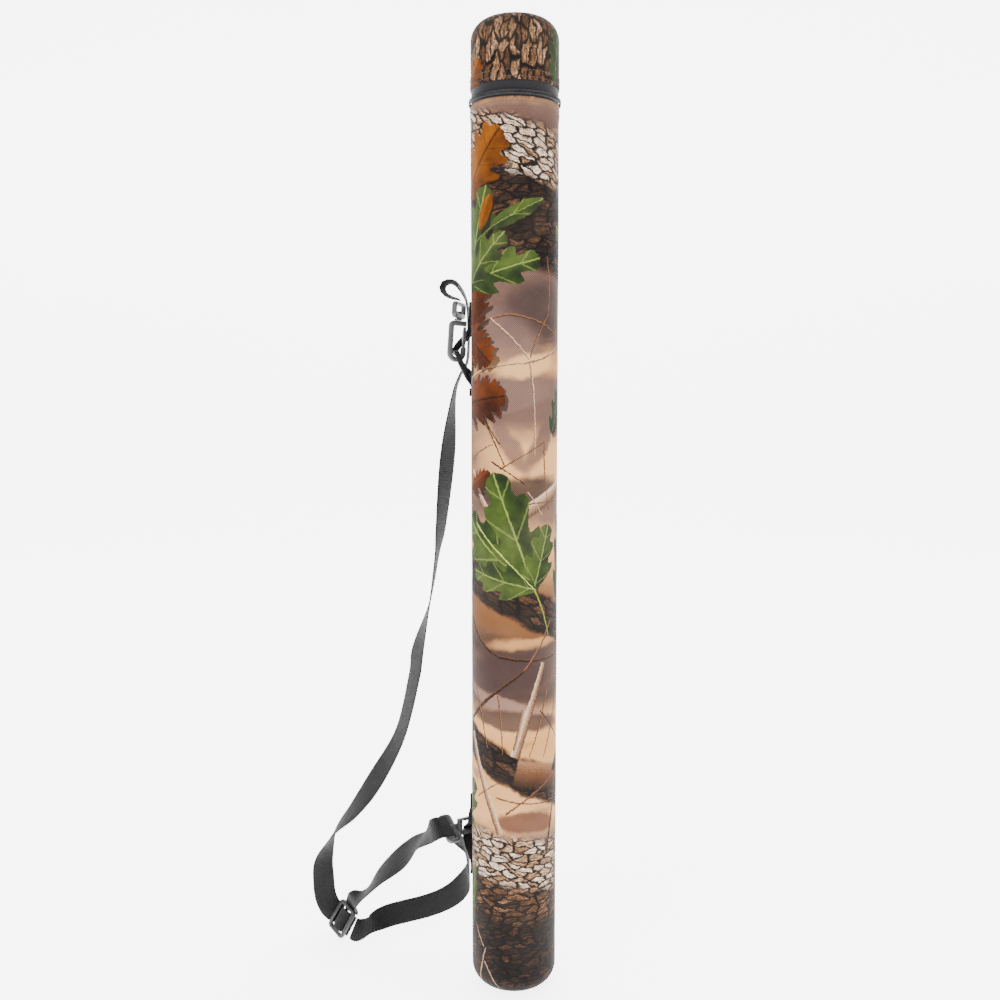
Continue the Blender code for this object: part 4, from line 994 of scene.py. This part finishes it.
def cap_profile():
    start = CAP_COVER_BOTTOM + 0.6 * MM
    rows = [(RADIUS - 1.35 * MM, CAP_COVER_BOTTOM + 2 * MM, CAP_COVER_BOTTOM - 4 * MM, 0.0)]
    for i in range(6, 0, -1):
        a = math.radians(30 * i)
        rows.append((RADIUS - 0.5 * MM + 0.85 * MM * math.cos(a), start - 0.6 * MM * math.sin(a),
                     CAP_COVER_BOTTOM - 0.3 * MM * i, 0.2))
    shoulder = LENGTH - RIM
    steps = 18
    for i in range(steps + 1):
        z = start + (shoulder - start) * i / steps
        rows.append((RADIUS + hem_lift(CAP_COVER_BOTTOM + HEM - z), z, z, 0.5 if i < 2 else 0.9))
    for i in range(1, 13):
        a = math.radians(90 * i / 12)
        rows.append((RADIUS - RIM + RIM * math.cos(a), shoulder + RIM * math.sin(a), shoulder + RIM * a,
                     0.9 - 0.75 * i / 12))
    rows.append((RADIUS - RIM - 0.1 * MM, LENGTH - 0.25 * MM, LENGTH + 10 * MM, 0.0))
    return rows


def end_disc(name, height, outward, body, node, shift):
    """Slightly crowned end panel, its edge turned in to the round seam."""
    radius = RADIUS - RIM - GAP
    rings, columns = 8, 96
    vertices, uv, faces = [Vector((0, 0, height - outward * 0.15 * MM))], [(0.0, shift)], []
    for i in range(1, rings + 1):
        r = radius * i / rings
        sunk = 0.15 * MM if i < rings else 0.6 * MM
        for k in range(columns):
            here = on_case(360 * k / columns, r, height - outward * sunk)
            vertices.append(here)
            uv.append((here.x, here.y + shift))
    for k in range(columns):
        faces.append((0, 1 + k, 1 + (k + 1) % columns))
    for i in range(rings - 1):
        for k in range(columns):
            a, b = 1 + i * columns + k, 1 + i * columns + (k + 1) % columns
            faces.append((a, a + columns, b + columns, b))
    return make(name, vertices, faces, CAMO, body, [node], uv)


revolve_cover("cover_fabric", body_profile(), "case", ["body_cover"])
revolve_cover("cap_fabric", cap_profile(), "cap", ["cap_cover"])
end_disc("base_fabric", 0.0, -1, "case", "base_panel", 30 * MM)
end_disc("cap_top_fabric", LENGTH, 1, "cap", "cap_top_panel", 770 * MM)


# ---------------------------------------------------------------- stitches

SIDES = 6                # round a thread or a coil's wire


def tube_faces(first, rings):
    """Faces between rings of SIDES vertices each, the first ring starting at vertex first."""
    faces = []
    for j in range(rings - 1):
        for k in range(SIDES):
            a, b = first + j * SIDES + k, first + j * SIDES + (k + 1) % SIDES
            faces.append((a, b, b + SIDES, a + SIDES))
    return faces


def stitch_ring(name, height, radius, body):
    """A row of lockstitches round the case: short threads pressed into the fabric."""
    pitch = 3.0 * MM
    rings = 5
    count = int(math.tau * radius / pitch)
    vertices, faces = [], []
    for i in range(count):
        middle = -180.0 + 360.0 * (i + 0.5) / count
        half = 0.36 * 360.0 / count
        for j in range(rings):
            t = j / (rings - 1)
            lift = 0.32 * MM * math.sin(math.pi * t) - 0.1 * MM
            thick = 0.24 * MM * (0.45 + 0.55 * math.sin(math.pi * t))
            azimuth = middle + half * (2 * t - 1)
            base = on_case(azimuth, radius + lift + wrinkle(azimuth, height), height)
            outward = on_case(azimuth, 1.0, 0.0)
            for k in range(SIDES):
                a = math.tau * k / SIDES
                vertices.append(base + outward * thick * math.cos(a) + Vector((0, 0, thick * math.sin(a))))
        first, last = i * rings * SIDES, (i + 1) * rings * SIDES
        faces += tube_faces(first, rings)
        faces += [tuple(range(first, first + SIDES))[::-1], tuple(range(last - SIDES, last))]
    return make(name, vertices, faces, THREAD, body)


HEM_OUT = RADIUS + 0.35 * MM
stitch_ring("body_hem_stitch", COVER_TOP - 3.9 * MM, HEM_OUT, "case")
stitch_ring("body_hem_stitch_low", COVER_TOP - 8.0 * MM, HEM_OUT, "case")
stitch_ring("cap_hem_stitch", CAP_COVER_BOTTOM + 2.2 * MM, HEM_OUT, "cap")
stitch_ring("cap_hem_stitch_high", CAP_COVER_BOTTOM + 7.4 * MM, HEM_OUT, "cap")


# ---------------------------------------------------------------- zip

def build_teeth(name, height, direction, body, node, shift):
    """One row of coil teeth: bent loops side by side, each leaning over the parting line."""
    pitch = 1.25 * MM
    start, end = ZIP_START - 3.0, ZIP_END + 3.0
    count = int(math.radians(start - end) * COIL_CENTRE / pitch)
    vertices, faces = [], []
    wire = 0.34 * MM
    for i in range(count):
        azimuth = start + (end - start) * (i + shift) / count
        loop = []
        for j in range(9):
            a = math.tau * j / 8 - math.pi / 2
            loop.append((COIL_CENTRE + 0.5 * MM * math.sin(a) * 0.9,
                         height + direction * (0.62 * MM * math.cos(a)),
                         azimuth + (0.5 - j / 8) * math.degrees(0.7 * pitch / COIL_CENTRE)))
        first = len(vertices)
        for j, (r, z, az) in enumerate(loop):
            before, after = loop[max(j - 1, 0)], loop[min(j + 1, 8)]
            ahead = on_case(after[2], after[0], after[1])
            along = (ahead - on_case(before[2], before[0], before[1])).normalized()
            tangent = on_case(az + 90, 1.0, 0.0)
            side = (tangent - tangent.dot(along) * along).normalized()
            up = along.cross(side)
            for k in range(SIDES):
                b = math.tau * k / SIDES
                vertices.append(on_case(az, r, z) + side * wire * math.cos(b) + up * wire * math.sin(b))
        faces += tube_faces(first, len(loop))
    return make(name, vertices, faces, TEETH, body, [node])


build_teeth("teeth_lower", PARTING - GAP / 2 - COIL_RADIUS, 1, "case", "zip_coil_lower", 0.25)
build_teeth("teeth_upper", PARTING + GAP / 2 + COIL_RADIUS, -1, "cap", "zip_coil_upper", 0.75)


def hinge_fabric():
    """Fabric strip that carries on up the back from the body to the cap, across the parting."""
    low, high = PARTING - 26 * MM, PARTING + 22 * MM
    first_azimuth, spread = 52.5, 75.0
    thickness, stand_off, bead = 0.8 * MM, 0.75 * MM, 0.12 * MM
    rows, columns = 36, 40
    vertices, uv, faces = [], [], []
    for layer, inset in ((0, 0.0), (1, thickness)):
        for i in range(rows + 1):
            z = low + (high - low) * i / rows
            for k in range(columns + 1):
                azimuth = first_azimuth + spread * k / columns
                edge = min(i, rows - i, k, columns - k)
                radius = RADIUS + GAP + stand_off - inset + (bead if 1 < edge < 4 else 0.0)
                vertices.append(on_case(azimuth, radius, z))
                uv.append((math.radians(azimuth - 180) * RADIUS, z))
    row, sheet = columns + 1, (rows + 1) * (columns + 1)
    for layer in (0, 1):
        for i in range(rows):
            for k in range(columns):
                a = layer * sheet + i * row + k
                face = (a, a + 1, a + row + 1, a + row)
                faces.append(face if layer == 0 else face[::-1])
    rim = [i * row for i in range(rows + 1)] + [rows * row + k for k in range(1, row)]
    rim += [i * row + columns for i in range(rows - 1, -1, -1)] + list(range(columns - 1, 0, -1))
    for a, b in zip(rim, rim[1:] + rim[:1]):
        faces.append((a, b, b + sheet, a + sheet))
    made = make("hinge_fabric", vertices, faces, CAMO, None, ["hinge_panel"], uv)
    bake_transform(made)


hinge_fabric()


# ---------------------------------------------------------------- carried-over CAD nodes

def dress(node, surface):
    mesh = nodes[node].data
    mesh.materials.clear()
    mesh.materials.append(surface)


for surface, dressed in (
        (PLASTIC, ("base_plug", "liner_tube", "cap_shell")), (LINING, ("inner_lining", "cap_lining")),
        (FOAM, ("base_pad", "cap_pad")), (TAPE, ("zip_tape_lower", "zip_tape_upper")),
        (METAL, ("zip_stop_closed", "zip_stop_open", "zip_slider", "zip_slider_crown", "zip_pull_tab")),
        (NYLON, ("upper_hook_swivel", "lower_hook_swivel"))):
    for node in dressed:
        dress(node, surface)


# ---------------------------------------------------------------- floor and light

def build_stage():
    made, _, shader = new_material("floor", roughness=0.7, specular=0.2)
    shader.inputs["Base Color"].default_value = (0.93, 0.93, 0.93, 1.0)
    shader.inputs["Emission Color"].default_value = (1.0, 1.0, 1.0, 1.0)
    shader.inputs["Emission Strength"].default_value = 4.5
    mesh = bpy.data.meshes.new("floor")
    half_width, front, bend, cove, top = 4.0, -3.0, 1.6, 1.2, 4.0
    rows = [(front, 0.0)] + [(bend + cove * math.sin(a), cove - cove * math.cos(a))
                             for a in (math.radians(9 * i) for i in range(11))] + [(2.8, top)]
    vertices = [(x, y, z) for y, z in rows for x in (-half_width, half_width)]
    faces = [(2 * i, 2 * i + 1, 2 * i + 3, 2 * i + 2) for i in range(len(rows) - 1)]
    mesh.from_pydata(vertices, [], faces)
    mesh.shade_smooth()
    mesh.materials.append(made)
    floor = bpy.data.objects.new("floor", mesh)
    bpy.context.scene.collection.objects.link(floor)


def area_light(name, place, aim, size, energy):
    data = bpy.data.lights.new(name, "AREA")
    data.shape = "RECTANGLE"
    data.size, data.size_y = size
    data.energy = energy
    made = bpy.data.objects.new(name, data)
    bpy.context.scene.collection.objects.link(made)
    made.location = place
    made.rotation_euler = (Vector(aim) - Vector(place)).to_track_quat("-Z", "Y").to_euler()


build_stage()
area_light("key", (-0.9, -1.5, 1.5), (0, 0, 0.45), (1.2, 1.4), 30)
area_light("fill", (1.3, -1.2, 0.9), (0, 0, 0.4), (1.2, 1.4), 16)
area_light("top", (0.0, 0.2, 2.4), (0, 0, 0.0), (2.0, 2.0), 40)
world = bpy.data.worlds.new("studio")
world.use_nodes = True
world.node_tree.nodes["Background"].inputs[0].default_value = (1.0, 1.0, 1.0, 1.0)
world.node_tree.nodes["Background"].inputs[1].default_value = 0.7
bpy.context.scene.world = world
